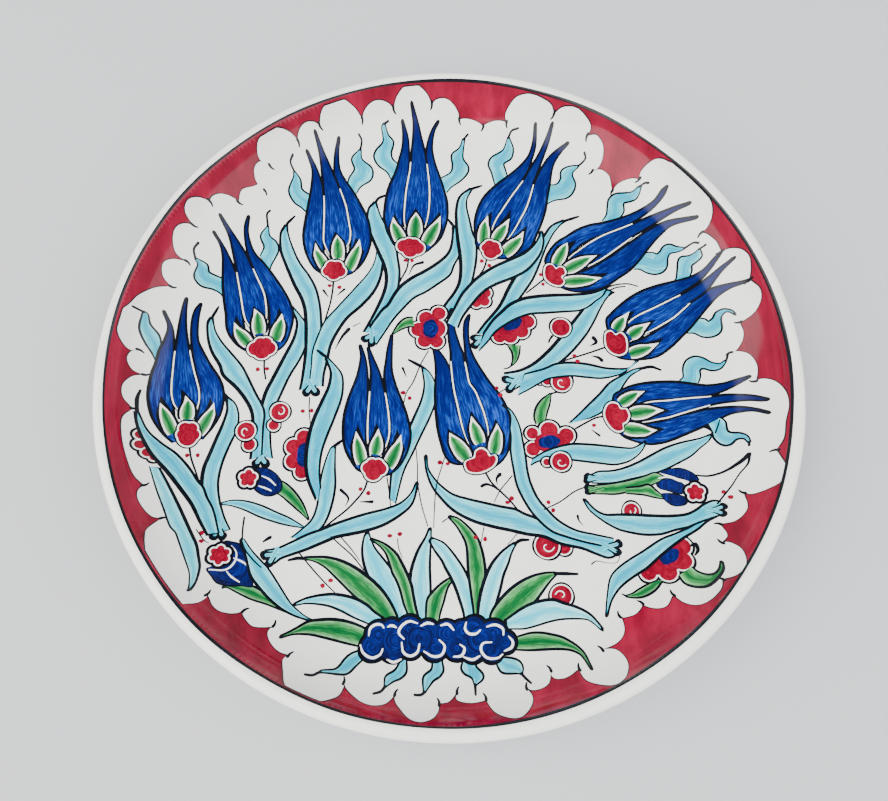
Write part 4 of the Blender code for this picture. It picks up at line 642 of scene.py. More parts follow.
rosette(5, None, [(83.4, -84.4, 3.2), (91.0, -84.2, 3.6), (97.0, -79.6, 3.8), (97.6, -73.6, 3.6), (92.0, -78.6, 5.4), (87.0, -82.4, 3.0)], [(92.4, -77.6, 4.6, 2.9, 35)])
leaf(11, "110.5,-57 107,-59.5 104.1,-64.4 97,-68 89.9,-70.9 82,-76 75.6,-79.9 70.9,-83.4 68,-87 66.6,-92.7 65.1,-102", "114.4,-59.8 108.6,-62.6 104.2,-66 98.4,-69.4 93.0,-73.2 87.2,-77.9 82.6,-81.9 77.8,-85 73.6,-88 70.4,-91 67.6,-95 66.2,-98.4 65.1,-102", wl=0.8, wr=1.0)
small_leaf("95.2,-85.6 97,-88.8 100.6,-90.2 104.1,-89.9 107.7,-87 110.2,-83.8 110.6,-80.9", "99.9,-82.4 102,-84.9 104.9,-86.3 107.7,-85.9 109.6,-83.8 110.6,-80.9", w=1.0)
small_leaf("88.4,-87.5 84.9,-91.3 80.6,-93.7 77,-94.3 73.5,-94", "85.9,-88.0 82.7,-89.5 79,-91.6 76.3,-93.2 73.5,-94", "73.5,-94 72,-93.2")
leaf(2, "-84.6,-39.4 -84.3,-32.3 -84.6,-24.4 -85.7,-17.3 -89.3,-10.9 -94.3,-5.1 -100,-0.1 -102.1,4.6 -106.4,11 -108.9,17.4 -110,24.6 -108.9,27.5", "-80.9,-36.9 -81.5,-25 -81.8,-16.9 -86.4,-8.7 -90.7,-0.9 -93.6,3.9 -98.6,9.6 -103.6,15.3 -107.1,21 -108.9,27.5")
rosette(7, None, [(-131.0, -31.2, 1.8), (-130.4, -35.6, 1.9), (-127.4, -38.6, 1.9), (-124.8, -40.2, 1.6)], [])
leaf(1, "-99.3,-71.6 -102.9,-65.9 -107.1,-58.7 -112.9,-51.6 -118.6,-45.1 -125,-38.7 -129.3,-32.3 -132.1,-26.6 -133.6,-20.9", "-95.8,-71 -99,-62 -102.5,-56.2 -104.6,-51.9 -107.1,-49.4 -111.4,-43.7 -117.1,-38 -123.6,-33.7 -129.3,-28.7 -133.6,-20.9", base=0.6)

B_LINE = piece("berries_line", "line")
B_RED = piece("berries_red", "red")


def berry(x, y, r, spiral=True, turn=0.0, open_to=None):
    """A red berry with a white edge, a dark ring and a small white curl."""
    blob(B_LINE, (x, y), r + 1.35, wobble=0.03)
    blob(GROUND, (x, y), r + 0.55)
    blob(B_RED, (x, y), r)
    if spiral:
        t = np.linspace(0, 4.0, 9) + math.radians(turn)
        k = np.linspace(0.12, 0.62, 9) * r
        stroke(GROUND, np.stack([x + k * np.cos(t), y + k * np.sin(t)], axis=1), (0.35, 0.5, 0.4), step=0.5)


berry(50.5, 25.6, 4.2, False)
stroke(B_LINE, P("46.6,21.4 45.4,19.6 44.8,18.1"), (1.3, 1.0, 0.9))
for x, y, r in ((40.6, -0.4, 1.5), (43.8, -0.2, 2.3)):
    berry(x, y, r, False)
berry(50.1, -0.9, 4.2, True, 60)
berry(42.6, -37.9, 1.6, False)
berry(48.7, -37.6, 3.9, True, 100)
berry(48.9, -74.4, 2.9, False)
berry(41.9, -74.0, 4.9, True, 120)
berry(47.3, -94.3, 4.2, True, -60)
berry(78, -58.6, 3.3, True, 170)
berry(-86.3, -32.4, 2.6, False)
berry(-88.3, -26.2, 3.9, True, 30)
berry(-76.4, -23.4, 2.3, False)
berry(-74.2, -17.2, 3.9, True, 200)
# leaves drawn over the berries
leaf(7, "33.7,2.1 42.3,4.6 48,7.1 55.1,7.8 62.3,7.1 69.4,5.6 76,5.3 81.3,6.2 84.9,10.3", "30.1,-7.3 35.1,-4.4 40.1,-1.2 45,1.3 54.4,2.6 60.9,2.1 68,1.7 73.7,2.8 78,4.5 84.9,10.3", wl=1.0, wr=0.8)
leaf(10, "69.4,-73.4 63,-71.6 57,-70 50,-67.9 43.7,-66.9 40.9,-65.1 37.3,-63 32.3,-61.2 28.7,-59.4 23,-58.4 15.9,-56.9 8,-55.1 2.3,-53.4 -2,-50.5 -6,-46.5 -9,-41.5 -9.6,-36", "70.9,-76.6 67.3,-77.9 62.3,-76.3 56.6,-74.1 48,-72.3 40.9,-69.4 33.7,-68.4 26.6,-66.9 19.4,-65.5 12.3,-63.7 5.9,-60.9 1.6,-58 -2,-54.4 -6,-49.4 -8.6,-43 -9.6,-36", wl=1.0, wr=1.2)
leaf(10, "70.1,-73.7 64.1,-72.9 57,-71.4 50,-69.4 43.7,-66.9 37.3,-60.9 33,-54.4 30.1,-48 28.7,-40.9 27.6,-33.7 27.7,-26.6 27.3,-23 27.7,-18 26.5,-14.5 24.1,-12.3", "69.8,-70.8 62.3,-69.4 53.7,-67.6 46.6,-63.7 41.6,-58.7 38,-54.4 35.1,-48 33.7,-42.3 33,-35.9 31.9,-28.7 30.9,-23 29.4,-18.7 27.3,-15.1 24.1,-12.3", wl=0.9, wr=0.9)
leaf(11, "114.2,-60.1 108.7,-61.8 104,-63.5 100.6,-64.8 95.6,-65.9 89.9,-67.6 83.4,-68 77.7,-67.3 72,-65.9 66.6,-63 60.9,-58.7 58,-54.1", "114.9,-55.1 112,-54.6 108.4,-56.2 104.9,-58.7 100.6,-60.5 93.4,-61.2 86.3,-61.2 79.1,-60.9 72,-60.9 66.6,-60.9 62.3,-58.7 58,-54.1", wl=0.9, wr=1.1)
toes(piece("leaf_pair_11_line", "line"), "117.2,-56.4 116.4,-60.6", 1.2, (111.6, -58.2))
toes(piece("leaf_pair_10_line", "line"), "73.6,-72.0 72.6,-77.0", 1.4, (67.4, -73.9))


def bud(no, star, star_r, body, veins, leaves, phase=0.3, lobes=5):
    """A cobalt bud seen from the side, with a small red star flower at its mouth."""
    line = piece(f"bud_{no}_line", "line", f"bud_{no}")
    blue = piece(f"bud_{no}_cobalt", "rock", f"bud_{no}")
    red = piece(f"bud_{no}_red", "red", f"bud_{no}")
    green = piece(f"bud_{no}_green", "green", f"bud_{no}")
    for l, r in leaves:
        outlined(line, green, P(l), P(r), 0.8, 0.7, step=0.8)
    for b in body:
        pts = curve(P(b), 0.8, closed=True)[:-1]
        c = pts.mean(axis=0)
        rr = np.linalg.norm(pts - c, axis=1)[:, None]
        put(line, c + (pts - c) * (1 + 0.7 / rr), centre=c, radius=5)
    for b in body:
        pts = curve(P(b), 0.8, closed=True)[:-1]
        put(blue, pts, centre=pts.mean(axis=0), radius=6)
    for v in veins:
        stroke(GROUND, P(v), (0.35, 0.8, 0.5), step=0.8)
    c = np.array(star, float)
    blob(line, c, star_r + 2.0, lobes=lobes, depth=0.14, phase=phase)
    blob(GROUND, c, star_r + 0.75, lobes=lobes, depth=0.22, phase=phase)
    blob(red, c, star_r + 0.1, lobes=lobes, depth=0.30, phase=phase)


bud(1, (105.6, -50.2), 3.6, ["91.6,-41.6 95.6,-40.2 100.6,-40.1 104.9,-41.6 107.2,-44.6 103.4,-45.0 99.6,-43.6 95.0,-42.6", "89.9,-46.6 94.2,-44.4 98.6,-45.6 101.2,-47.6 99.6,-50.6 94.6,-49.4 91.0,-48.6", "92.0,-51.0 98.6,-51.6 101.6,-53.0 100.6,-55.4 96.0,-55.6 92.6,-53.4"],
    ["90.2,-44.2 95,-43.6 99.4,-45.4"],
    [("61.2,-48.2 66,-47.9 72,-47.0 78.4,-45.6 84.9,-43.6 89.2,-42.1 93.1,-43.9", "61.2,-51.2 66,-51.1 72,-51.0 78,-49.6 84,-48.0 89.2,-46.0 93.1,-43.9"), ("76,-49 82,-48.4 86,-47.6 89,-50 92.7,-53.1", "76,-50.8 80,-50.9 84,-51.2 88,-52.2 92.7,-53.1")])
toes(piece("bud_1_line", "line"), "58.2,-48.4 58.6,-51.0", 1.2, (63.6, -49.6), piece("bud_1_green", "green"))
bud(2, (-85.4, -47.3), 3.7, ["-82.6,-44.0 -78.4,-43.0 -74.0,-45.4 -71.2,-49.0 -71.6,-52.6 -75.4,-54.6 -79.6,-53.6 -82.4,-50.8"],
    ["-79.6,-46.2 -76.4,-47.6 -73.4,-50.2", "-80.6,-50.6 -77.4,-51.6 -75,-52.6"],
    [("-72.6,-48.0 -68.9,-49.9 -64.6,-54.0 -61,-59.0 -58.5,-64.4", "-73.0,-53.0 -69.6,-55.0 -65.4,-58.4 -61.6,-61.6 -58.5,-64.4")])
bud(3, (-93.6, -80.4), 4.0, ["-92.8,-75.4 -88.6,-75.2 -85.7,-76.3 -83.6,-79.9 -81.4,-84.1 -80.4,-88.4 -79.3,-92.7 -83.6,-92.4 -87.1,-92.7 -92.1,-92 -95,-89.1 -97.1,-86.3 -94,-84"],
    ["-88.0,-81.4 -84.4,-82.8 -81.6,-84.6", "-90.0,-87.0 -87.9,-89.1 -84.3,-91.3", "-89.6,-76.2 -87.2,-79.0 -87.4,-83.0 -90.4,-86.4 -96.6,-86.8"],
    [("-90.6,-94.1 -87.1,-92.7 -83,-92.7 -78.5,-93.4 -72,-96.9 -64,-100.8 -57.6,-104.6", "-90.6,-94.1 -88.6,-93.4 -83.6,-95.6 -78.6,-97.7 -72,-99.6 -64,-102.6 -57.6,-104.6")], lobes=6, phase=0.5)
leaf(1, "-86.0,-73.4 -85.2,-75.6 -82.8,-80.0 -81.4,-84.1 -79.6,-88.4 -76.2,-92.4 -71.4,-97.2 -66,-101.2 -60.6,-103.8 -54.6,-105.6", "-85.0,-73.4 -81.4,-78.1 -77.8,-81.8 -74.3,-85.1 -71.4,-88.8 -67.4,-94.2 -63.6,-99.2 -60.2,-102.2 -57.4,-104.2 -54.6,-105.6", wl=1.0, wr=0.7)

# ---------------------------------------------------------------- grass, rocks and roots
GR_LINE = piece("grass_line", "line", "grass")
GR_GREEN = piece("grass_green", "green", "grass")
GR_TURQ = piece("grass_turq", "pale", "grass")


def blade(colour, left, right, wl=1.2, wr=0.9, tail=None):
    outlined(GR_LINE, GR_GREEN if colour == "g" else GR_TURQ, P(left), P(right), wl, wr, tail, base=1.0)


blade("t", "-11.4,-106 -12.4,-100.6 -13.1,-96.3 -14,-91.3 -13.9,-86.3 -12.8,-81.3 -11,-76.3 -8.5,-71.6 -7,-67.6", "-7.4,-106 -7.8,-103.4 -7.4,-99.1 -6.9,-94.1 -7.1,-89.1 -7.4,-83.4 -7.3,-77.7 -7.1,-72.7 -7,-67.6")
blade("g", "-7.9,-106 -7.6,-103.4 -7.4,-99 -6.8,-96.2 -4.6,-93.4 -1.7,-90.6 2,-88.1 7.3,-85.6", "-3.2,-106 -2.6,-101.9 -1.4,-97.6 -0.4,-93.6 0.6,-91.0 2.6,-88.6 7.3,-85.6", 0.9, 0.8)
blade("t", "7.2,-106 8,-102.7 6.2,-96.3 4.4,-91.3 2.3,-87 0.1,-83.4 -1.4,-80.5 -4.6,-76.4 -7,-72.5", "12.4,-106 11.9,-102 11.6,-97 10.5,-92.7 8.7,-88.4 6.6,-84.1 3.7,-79.9 0.9,-76.3 -2,-73.5 -7,-71.5", 1.1, 0.9)
blade("g", "11.6,-106 11.9,-102 11.2,-96.3 10.5,-91.3 9.8,-86.3 9.4,-81.3 9.1,-76.3 8.2,-72.6 5.9,-68.4 3.7,-65.4 0.9,-62.4", "14.2,-106 13.7,-102 14.4,-95.6 15.1,-90.6 15.5,-85.6 15.1,-81.3 14.1,-76.3 12.6,-72 10.9,-69.4 8,-66.3 4.4,-63.4 0.9,-62.4", 1.0, 1.0)
blade("t", "13.6,-106 13.7,-102.7 14.1,-98.4 15.1,-93.4 16.6,-88.4 18.7,-83.4 21.6,-79.1 25.1,-75.6 28.6,-73.2", "18.4,-106 18.4,-102.7 20.1,-97 21.6,-92 23,-86.3 25.1,-81.3 26.6,-77 28.6,-73.2", 1.2, 1.0, "28.6,-73.2 30.9,-71.8 34.4,-71.6")
blade("g", "18.4,-106 18.7,-102.7 20.1,-99.9 23,-96.3 26.6,-92.7 30.9,-89.5 35.9,-87 40.9,-85.6 45.1,-85.3", "24,-106 25.1,-104.1 28.7,-102 33,-99.1 36.6,-95.6 39.4,-92 42.3,-88.4 45.1,-85.5", 1.1, 1.0, "45.1,-85.3 49.4,-85.3 54.4,-85.4")
blade("g", "28,-111.4 33.7,-109.8 38,-109.5 42.3,-110.1 46.6,-111.1 50.1,-112.9 53,-115 55.1,-117.7 56.9,-122.7", "28,-115.4 33.7,-115.4 39.4,-115 44.4,-114.7 48.7,-114.9 51.6,-115.7 54.4,-117.7 56.9,-122.7", 0.9, 0.9)
blade("t", "25,-104.4 30.1,-100.9 34.4,-98.6 38.7,-97.2 43.7,-96.6 48,-97.9 52.3,-99 56.6,-100.8 59.4,-102.9 61.6,-105.6 63,-107.7", "25,-107.4 31.6,-107.2 36.6,-105.9 41.6,-104.3 46.6,-103.2 51.6,-102.9 57.3,-103.2 60.1,-105 62.3,-107.2 63,-107.7", 1.1, 0.7, "62,-106.6 63.2,-108")
blade("t", "-21,-105.6 -23.9,-100.6 -26.7,-96.3 -29.6,-91.3 -32.1,-86.3 -33.9,-81.3 -34.6,-76.3 -34.2,-72 -33.2,-69.6", "-14.4,-106 -15.3,-103.4 -16.7,-98.4 -18.9,-93.4 -21,-88.4 -23.9,-84.1 -27.4,-79.9 -30.3,-76.3 -32,-72.7 -33.2,-69.6", 1.1, 0.9)
blade("g", "-14.2,-106 -14.6,-103.4 -16.7,-98.4 -18.1,-93.4 -19.9,-89.1 -21.7,-86 -23.4,-81.3 -25.3,-77.4 -28.4,-74.4 -31.6,-72.6", "-11.4,-106 -11.7,-103.4 -12.8,-99.9 -13.9,-95.6 -14.9,-91.3 -16.7,-87 -18.9,-82.7 -21,-79.1 -23.9,-76.3 -27.4,-74.1 -31.6,-72.6", 0.9, 1.1)
blade("g", "-25.3,-105.6 -28.9,-102.4 -33.1,-98.4 -37.4,-95.2 -41.7,-91.3 -46,-87.4 -50.3,-83.8 -55.3,-81.5 -59,-81.1", "-19.6,-105.2 -21,-102 -24.6,-96.3 -28.9,-91.6 -33.9,-87.7 -38.9,-84.5 -44.6,-82 -50.3,-80.8 -56,-80.8 -59,-81.0", 0.8, 1.2, "-59,-81 -61.7,-80.9 -65.6,-81.8")
blade("t", "-30.3,-106.6 -33.9,-105.2 -38.1,-103.4 -42.4,-101.3 -47.4,-99.5 -52.4,-98.8 -57.4,-98.8 -61.7,-99.8", "-24,-105.6 -28.9,-102.7 -32.4,-99.9 -36.7,-97.7 -41.7,-96.4 -46.7,-95.9 -52.4,-96.5 -57.4,-97.7 -61.7,-99.8", 0.8, 1.1)
blade("g", "-32,-115.6 -38.9,-114.1 -43.9,-112.9 -48.9,-111.8 -53.9,-110.9 -60.3,-111 -65.3,-112.7", "-30,-110.2 -35.3,-107.9 -40.3,-106.5 -45.3,-105.9 -50.3,-106.1 -55.3,-106.9 -59.6,-109.5 -65.3,-112.7", 0.9, 1.1)

RT_LINE = piece("roots_line", "line", "roots")
RT = piece("roots_turq", "turq", "roots")


def root(left, right, tail):
    outlined(RT_LINE, RT, P(left), P(right), 0.8, 0.8, tail, step=0.8, tail_w=(1.3, 1.2, 1.0))


root("-32,-116.7 -37.1,-118.8 -39.6,-121.3 -41,-123.4 -43.1,-124.9 -47.4,-125.2 -48.5,-125.6", "-32,-119.6 -35.6,-123.1 -38.1,-125.6 -41,-125.9 -45.3,-125.6 -48.5,-125.6", "-48.5,-125.6 -51,-126.9 -53.9,-126.6")
root("-17.8,-120 -17.8,-122 -19.6,-124.9 -22.8,-127 -23.1,-130.6", "-15.6,-119 -15.6,-121.3 -15.6,-124.9 -17.4,-127 -20.3,-128.4 -23.1,-130.6", "-23,-130.4 -24.6,-132.4 -27.4,-133.2")
root("-4.6,-119.3 -4.6,-121.3 -4.9,-124.1 -7.8,-126.6 -8.1,-129.1 -7.8,-132.4", "-1.4,-119.3 -1.4,-121.3 -1,-124.1 -2.4,-126.3 -4.6,-127.7 -6.4,-130.2 -7.8,-132.4", "-7.8,-132.4 -9.2,-133.4 -11.7,-133.4")
root("7.6,-119.3 7.3,-121.3 6.9,-123.1 8,-124.9 10.9,-126.6 11.9,-129.4", "11.6,-119.3 11.6,-121.3 12.3,-123.1 14.4,-125.2 14.6,-127 11.9,-129.4", "11.9,-129.1 12,-133.1")
root("21,-118.4 23,-119.1 26.6,-119.5 29.4,-120.6 30.5,-122.7 30.1,-124.9", "20,-119.6 20.9,-121.3 22.6,-124.1 25.9,-124.5 28.7,-124.5 30.1,-124.9", "30.1,-124.9 31.6,-126.6 33.6,-128.4")

RK_LINE = piece("rocks_line", "line", "rocks")
RK = piece("rocks_cobalt", "rock", "rocks")
ROCKS = [(-28.9, -115.9, 4.6), (-26.7, -110.8, 4.6), (-21.7, -108.9, 3.6), (-21.0, -116.3, 4.4), (-14.6, -108.6, 4.7), (-13.9, -115.0, 4.2),
         (-7.4, -109.6, 4.2), (-4.2, -115.6, 4.3), (0.6, -109.8, 4.4), (4.4, -115.6, 4.0), (7.0, -109.0, 3.8), (11.6, -107.6, 4.1),
         (10.9, -116.0, 4.3), (18.4, -115.6, 4.5), (19.4, -109.6, 4.7), (24.0, -112.8, 3.7), (-10, -112, 5), (14, -112, 5), (-20, -113, 5)]
for x, y, r in ROCKS:
    blob(RK_LINE, (x, y), r + 1.75, wobble=0.02)
for x, y, r in ROCKS:
    blob(RK, (x, y), r + 0.35)
CURLS = ["-34.0,-114.9 -32.6,-118.0 -29.2,-119.9 -25.9,-118.6 -25.0,-116.3", "-30.8,-111.4 -30.4,-108.6 -28.4,-107.0 -25.9,-107.0 -24.9,-108.2",
         "-23.4,-107.8 -21.7,-107.2 -19.8,-107.9", "-23.1,-120.4 -20.3,-121.4 -17.4,-120.2", "-11.3,-106.2 -14.6,-105.4 -17.6,-107.2 -18.8,-110.0 -16.6,-112.4",
         "-17.5,-113.6 -16.7,-117.4 -13.9,-118.9 -11.1,-117.4 -10.3,-114.1", "-10.0,-107.2 -7.4,-106.0 -4.9,-106.4", "-2.5,-112.4 -0.2,-114.9 -1.4,-118.2 -4.8,-118.9 -8.5,-117.0",
         "-2.0,-106.9 1.0,-106.3 3.4,-108.6", "5.9,-114.1 7.8,-115.6 6.6,-118.4 3.4,-118.9", "8.4,-105.4 7.9,-107.9 9.4,-109.8 12.2,-109.9 14.1,-108.4",
         "7.3,-118.9 10.9,-119.9 13.9,-118.4", "18.7,-113.0 15.2,-113.5 14.4,-116.3 16.9,-119.1 20.9,-119.1 23.0,-117.6", "16.6,-107.1 20.0,-106.2 23.1,-107.6 23.4,-110.1", "25.5,-110.6 27.1,-112.6 26.6,-114.9 23.7,-116.4"]
for t in CURLS:
    stroke(GROUND, P(t), (0.5, 1.0, 1.05, 0.6), step=0.7)

# ---------------------------------------------------------------- small strokes
S_LINE = piece("strokes_line", "line")
S_RED = piece("dots_red", "red")
dots(S_RED, "-112.4,-37.9 -108,-37.6 -85.7,2.6 -81.6,3 -56.1,44.8 -51.6,44 -21.4,58.6 -18.3,58.5 14.4,59 17.9,56.7 41.9,52.4 42.9,47.4 56.2,11.9 57.6,9.2 -37.1,-51.2 -33.7,-52.9 "
     "-3.5,-38.9 -0.1,-39.4 -20.4,-7.3 -17.4,-9.8 -64.2,-16.7 -60.3,-16.4 -23.9,-70.9 -19.7,-70.1 -102,-71.5 -101.5,-75 21.2,-4.3 22.8,-7.6 63.7,-20.9 42.9,-55.5 44.8,-58.9 "
     "25.5,-55.9 27.3,-54.1 12.1,-70.9 16,-71.6 -50.7,-91.9 -47.5,-89.7 116.6,-50.5 118.8,-53", 1.05)
for text, w in [
        ("-46,23.1 -49,19 -51.7,13.1", (1.9, 1.2, 0.3)), ("-44.2,24.4 -41,26.2", (0.6, 0.4)), ("-21,4.6 -19.2,0.3", (1.2, 0.4)),
        ("-9.6,13.1 -13.1,6 -16,-2 -18.9,-7.3 -20.3,-14.4", (0.6, 0.7, 0.5)), ("-61.7,-10.1 -61.4,-16.6 -60.4,-23", (0.6, 0.6, 0.4)),
        ("-13.9,-33 -13.1,-40.9 -12.8,-48 -11,-57.3 -8.1,-66.6", (0.5, 0.6, 0.5)), ("-26,-45.9 -24.9,-52.3 -24,-58.4", (0.6, 0.5)),
        ("-85.4,-64.1 -85.6,-69 -85.4,-73.7", (0.9, 0.9, 0.8)), ("-1,-35.1 -3.1,-42.3 -4.6,-48 -5.3,-55.1 -5.6,-67.3", (0.5, 0.6, 0.4)),
        ("-58.9,42.4 -56.4,38.9", (1.3, 0.4)), ("-49.2,43.1 -52.4,39.9", (1.3, 0.4)), ("-13.1,57.8 -17.4,56 -19.6,51", (1.6, 1.0, 0.3)),
        ("65.1,21 66.4,18.6 63.4,16.7", (2.0, 1.5, 0.3)), ("63.7,11.9 67,11.2 68.7,9.6", (0.3, 1.2, 1.8)),
        ("-45.6,-51.6 -42.1,-55.1 -43.1,-58.7", (1.5, 1.1, 0.3)), ("-31.7,-56.6 -37.1,-56.7", (1.5, 0.4)),
        ("14.4,-49.1 16.6,-48.1 19.4,-49.1 21.4,-50.6", (1.5, 1.3, 0.8, 0.4)), ("22.5,-43.6 20.9,-45.6 21.3,-48.2", (1.9, 1.0, 0.3)),
        ("27.6,-44.1 25.1,-47.3 22.3,-50.9 19.8,-55.9", (0.6, 0.6, 0.4)), ("55.1,-60.9 55.5,-63 57.3,-65.1", (1.2, 0.7, 0.3)),
        ("62.6,-23 66,-25.6", (0.4, 1.2)), ("15.5,-66.6 14.1,-74.4", (0.5, 0.4)), ("30.1,-68.4 25.5,-73.7", (0.5, 0.4)),
        ("-2,-64.8 1.2,-62.3", (0.6, 0.5)), ("40.9,-58.7 48,-55.1 54.4,-50.5 61,-47.8", (0.6, 0.7, 0.7)), ("20.9,-7.3 24.8,-4.8", (0.6, 0.6)),
        ("60.1,-81.3 62.3,-79.9 66.6,-80.6 70.9,-80.2 71.9,-77 70.5,-75.5", (0.7, 0.4, 0.3, 0.4, 0.6)), ("-104.3,-70 -100.7,-74.4 -98.6,-75.6", (0.5, 0.6, 0.4)),
        ("-48.5,-71.6 -44,-75.4 -39,-79.6 -34,-85.4", (0.6, 0.7, 0.6)), ("-44.5,-71.6 -40,-76.4 -36,-81.4", (0.6, 0.6, 0.4)),
        ("-61.5,-78.4 -56.4,-84 -50.3,-90.2 -43.9,-96", (0.7, 0.7, 0.5)), ("-20.6,-72 -20,-76 -18.2,-80.2", (0.5, 0.5, 0.3)),
        ("106.3,-42.6 112,-43 118.4,-41.2 124.9,-37.3 128.1,-34.4", (0.8, 1.0, 1.1, 1.6, 1.8)), ("128.1,-34.4 127,-38.7 123.4,-43 119.9,-48 116.3,-52.3 113.6,-55.6", (1.2, 0.7, 0.6, 0.8, 0.8)),
        ("101.2,-73.4 103.0,-72.4 103.6,-75.2 102.2,-77.4", (1.0, 1.6, 1.5, 0.8)), ("-73.6,-72.3 -76.4,-74.4", (1.6, 0.5)),
        ("-76.6,-74.4 -74.4,-72.4", (0.8, 1.0)), ("-86,-73.2 -84,-77.5 -80.4,-81.6 -76.4,-85", (0.9, 0.7, 0.6)),
]:
    stroke(S_LINE, P(text), w, step=0.8)
# the curling ribbon under the right-hand tulip
outlined(RIB_LINE, RIB, P("114.1,-19.4 115.6,-23 115.9,-25.5 117.7,-28 119.9,-29.1 122,-28.7 124.1,-26.9 127,-26.9 128.8,-29.3"), P("118.8,-16.9 120.6,-18.7 120.9,-23 122.7,-24.4 125.6,-24.8 127.7,-25.9 128.6,-27.4 128.8,-29.3"), 0.9, 0.8, "128.8,-28.6 128.4,-30.8", step=0.8, tail_w=(1.2, 1.0))
stroke(RIB_LINE, P("118.8,-17.6 117.8,-20.4 116.4,-23.6"), (0.5, 0.7, 0.8), step=0.7)

# ---------------------------------------------------------------- one triangulation of the whole sheet
verts, edges = [], []
for e in ELEMENTS:
    o = e["outline"]
    keep = [0]
    for i in range(1, len(o)):
        if np.linalg.norm(o[i] - o[keep[-1]]) > 0.06:
            keep.append(i)
    if np.linalg.norm(o[keep[-1]] - o[keep[0]]) < 0.06:
        keep.pop()
    o = o[keep]
    r = np.linalg.norm(o, axis=1)
    o = o * np.minimum(1, CREST / r)[:, None]
    e["outline"] = o
    if len(o) < 3:
        continue
    base = len(verts)
    verts.extend(Vector(p) for p in o)
    edges.extend((base + i, base + (i + 1) % len(o)) for i in range(len(o)))
for r in list(np.arange(6, 111, 3.2)) + list(np.arange(111.6, 134.4, 1.6)) + [134.9, 136.0, 137.1, 138.2, 139.2, 140.2, 141.1, 142.0, 142.9, 143.45, 143.95, 144.45, 145.0, 145.5, 146.0, 146.4]:
    n = 420 if r > 134.5 else max(8, int(2 * math.pi * r / (3.4 if r < 111 else 2.8)))
    off = (0.5 if int(round(r * 20)) % 2 else 0.0) if r > 134.5 else RNG.uniform(0, 1)
    for k in range(n):
        a = 2 * math.pi * (k + off) / n
        verts.append(Vector((r * math.cos(a), r * math.sin(a))))
points, _, tris, *_rest = delaunay_2d_cdt(verts, edges, [], 0, 0.012, False)
points = np.array([tuple(p) for p in points])
tris = np.array([t for t in tris if len(t) == 3], int)
area2 = np.cross(points[tris[:, 1]] - points[tris[:, 0]], points[tris[:, 2]] - points[tris[:, 0]])
tris = np.where((area2 < 0)[:, None], tris[:, ::-1], tris)
tris = tris[np.abs(area2) > 1e-7]
centres = points[tris].mean(axis=1)

owner = np.zeros(len(tris), int)
for index, e in enumerate(ELEMENTS):
    o = e["outline"]
    if len(o) < 3:
        continue
    lo, hi = o.min(axis=0), o.max(axis=0)
    near = np.flatnonzero(((centres >= lo) & (centres <= hi)).all(axis=1))
    if not len(near):
        continue
    q = centres[near]
    x0, y0 = o[:, 0], o[:, 1]
    x1, y1 = np.roll(x0, -1), np.roll(y0, -1)
    wind = np.zeros(len(q), int)
    for i in range(len(o)):
        side = (x1[i] - x0[i]) * (q[:, 1] - y0[i]) - (q[:, 0] - x0[i]) * (y1[i] - y0[i])
        up = (y0[i] <= q[:, 1]) & (y1[i] > q[:, 1]) & (side > 0)
        down = (y0[i] > q[:, 1]) & (y1[i] <= q[:, 1]) & (side < 0)
        wind += up.astype(int) - down.astype(int)
    owner[near[wind != 0]] = index

# ---------------------------------------------------------------- brush coordinates


def brush(e, pts):
    """(along in mm, across from -1 to 1, share of the length) at each point of an element."""
    if e["mid"] is None:
        d = pts - e["centre"]
        rr = np.linalg.norm(d, axis=1)
        return d[:, 0] + e["centre"][0], np.clip(rr / max(e["radius"], 0.1), 0, 1.2), np.clip(rr / max(e["radius"], 0.1), 0, 1)
    mid, half = e["mid"], e["half"]
    seg = np.linalg.norm(np.diff(mid, axis=0), axis=1)
    s = np.concatenate([[0], np.cumsum(seg)])
    tangent = np.gradient(mid, axis=0)
    tangent /= np.linalg.norm(tangent, axis=1)[:, None] + 1e-9
    u, v = np.empty(len(pts)), np.empty(len(pts))
    for a in range(0, len(pts), 4000):
        p = pts[a:a + 4000]
        k = np.argmin(((p[:, None] - mid[None]) ** 2).sum(axis=2), axis=1)
        d = p - mid[k]
        w = np.linalg.norm(half[k], axis=1)
        nrm = half[k] / (w[:, None] + 1e-9)
        u[a:a + 4000] = s[k] + (d * tangent[k]).sum(axis=1)
        v[a:a + 4000] = np.clip((d * nrm).sum(axis=1) / np.maximum(w, 0.2), -1.3, 1.3)
    return u, v, np.clip(u / max(s[-1], 0.1), 0, 1)


# ---------------------------------------------------------------- materials
def srgb(r, g, b):
    out = []
    for c in (r, g, b):
        c = c / 255
        out.append(c / 12.92 if c <= 0.04045 else ((c + 0.055) / 1.055) ** 2.4)
    return (*out, 1.0)


def nodes_of(name):
    m = bpy.data.materials.new(name)
    m.use_nodes = True
    t = m.node_tree
    t.nodes.clear()
    out = t.nodes.new("ShaderNodeOutputMaterial")
    bsdf = t.nodes.new("ShaderNodeBsdfPrincipled")
    t.links.new(bsdf.outputs[0], out.inputs[0])
    return m, t, bsdf


def math_node(t, op, a, b=None, c=None, clamp=False):
    n = t.nodes.new("ShaderNodeMath")
    n.operation, n.use_clamp = op, clamp
    for i, v in enumerate((a, b, c)):
        if v is None:
            continue
        if isinstance(v, (int, float)):
            n.inputs[i].default_value = v
        else:
            t.links.new(v, n.inputs[i])
    return n.outputs[0]


def mix(t, fac, a, b, kind="MIX"):
    n = t.nodes.new("ShaderNodeMix")
    n.data_type, n.blend_type = "RGBA", kind
    for socket, v in ((n.inputs[0], fac), (n.inputs[6], a), (n.inputs[7], b)):
        if isinstance(v, (int, float)):
            socket.default_value = v
        elif isinstance(v, tuple):
            socket.default_value = v
        else:
            t.links.new(v, socket)
    return n.outputs[2]


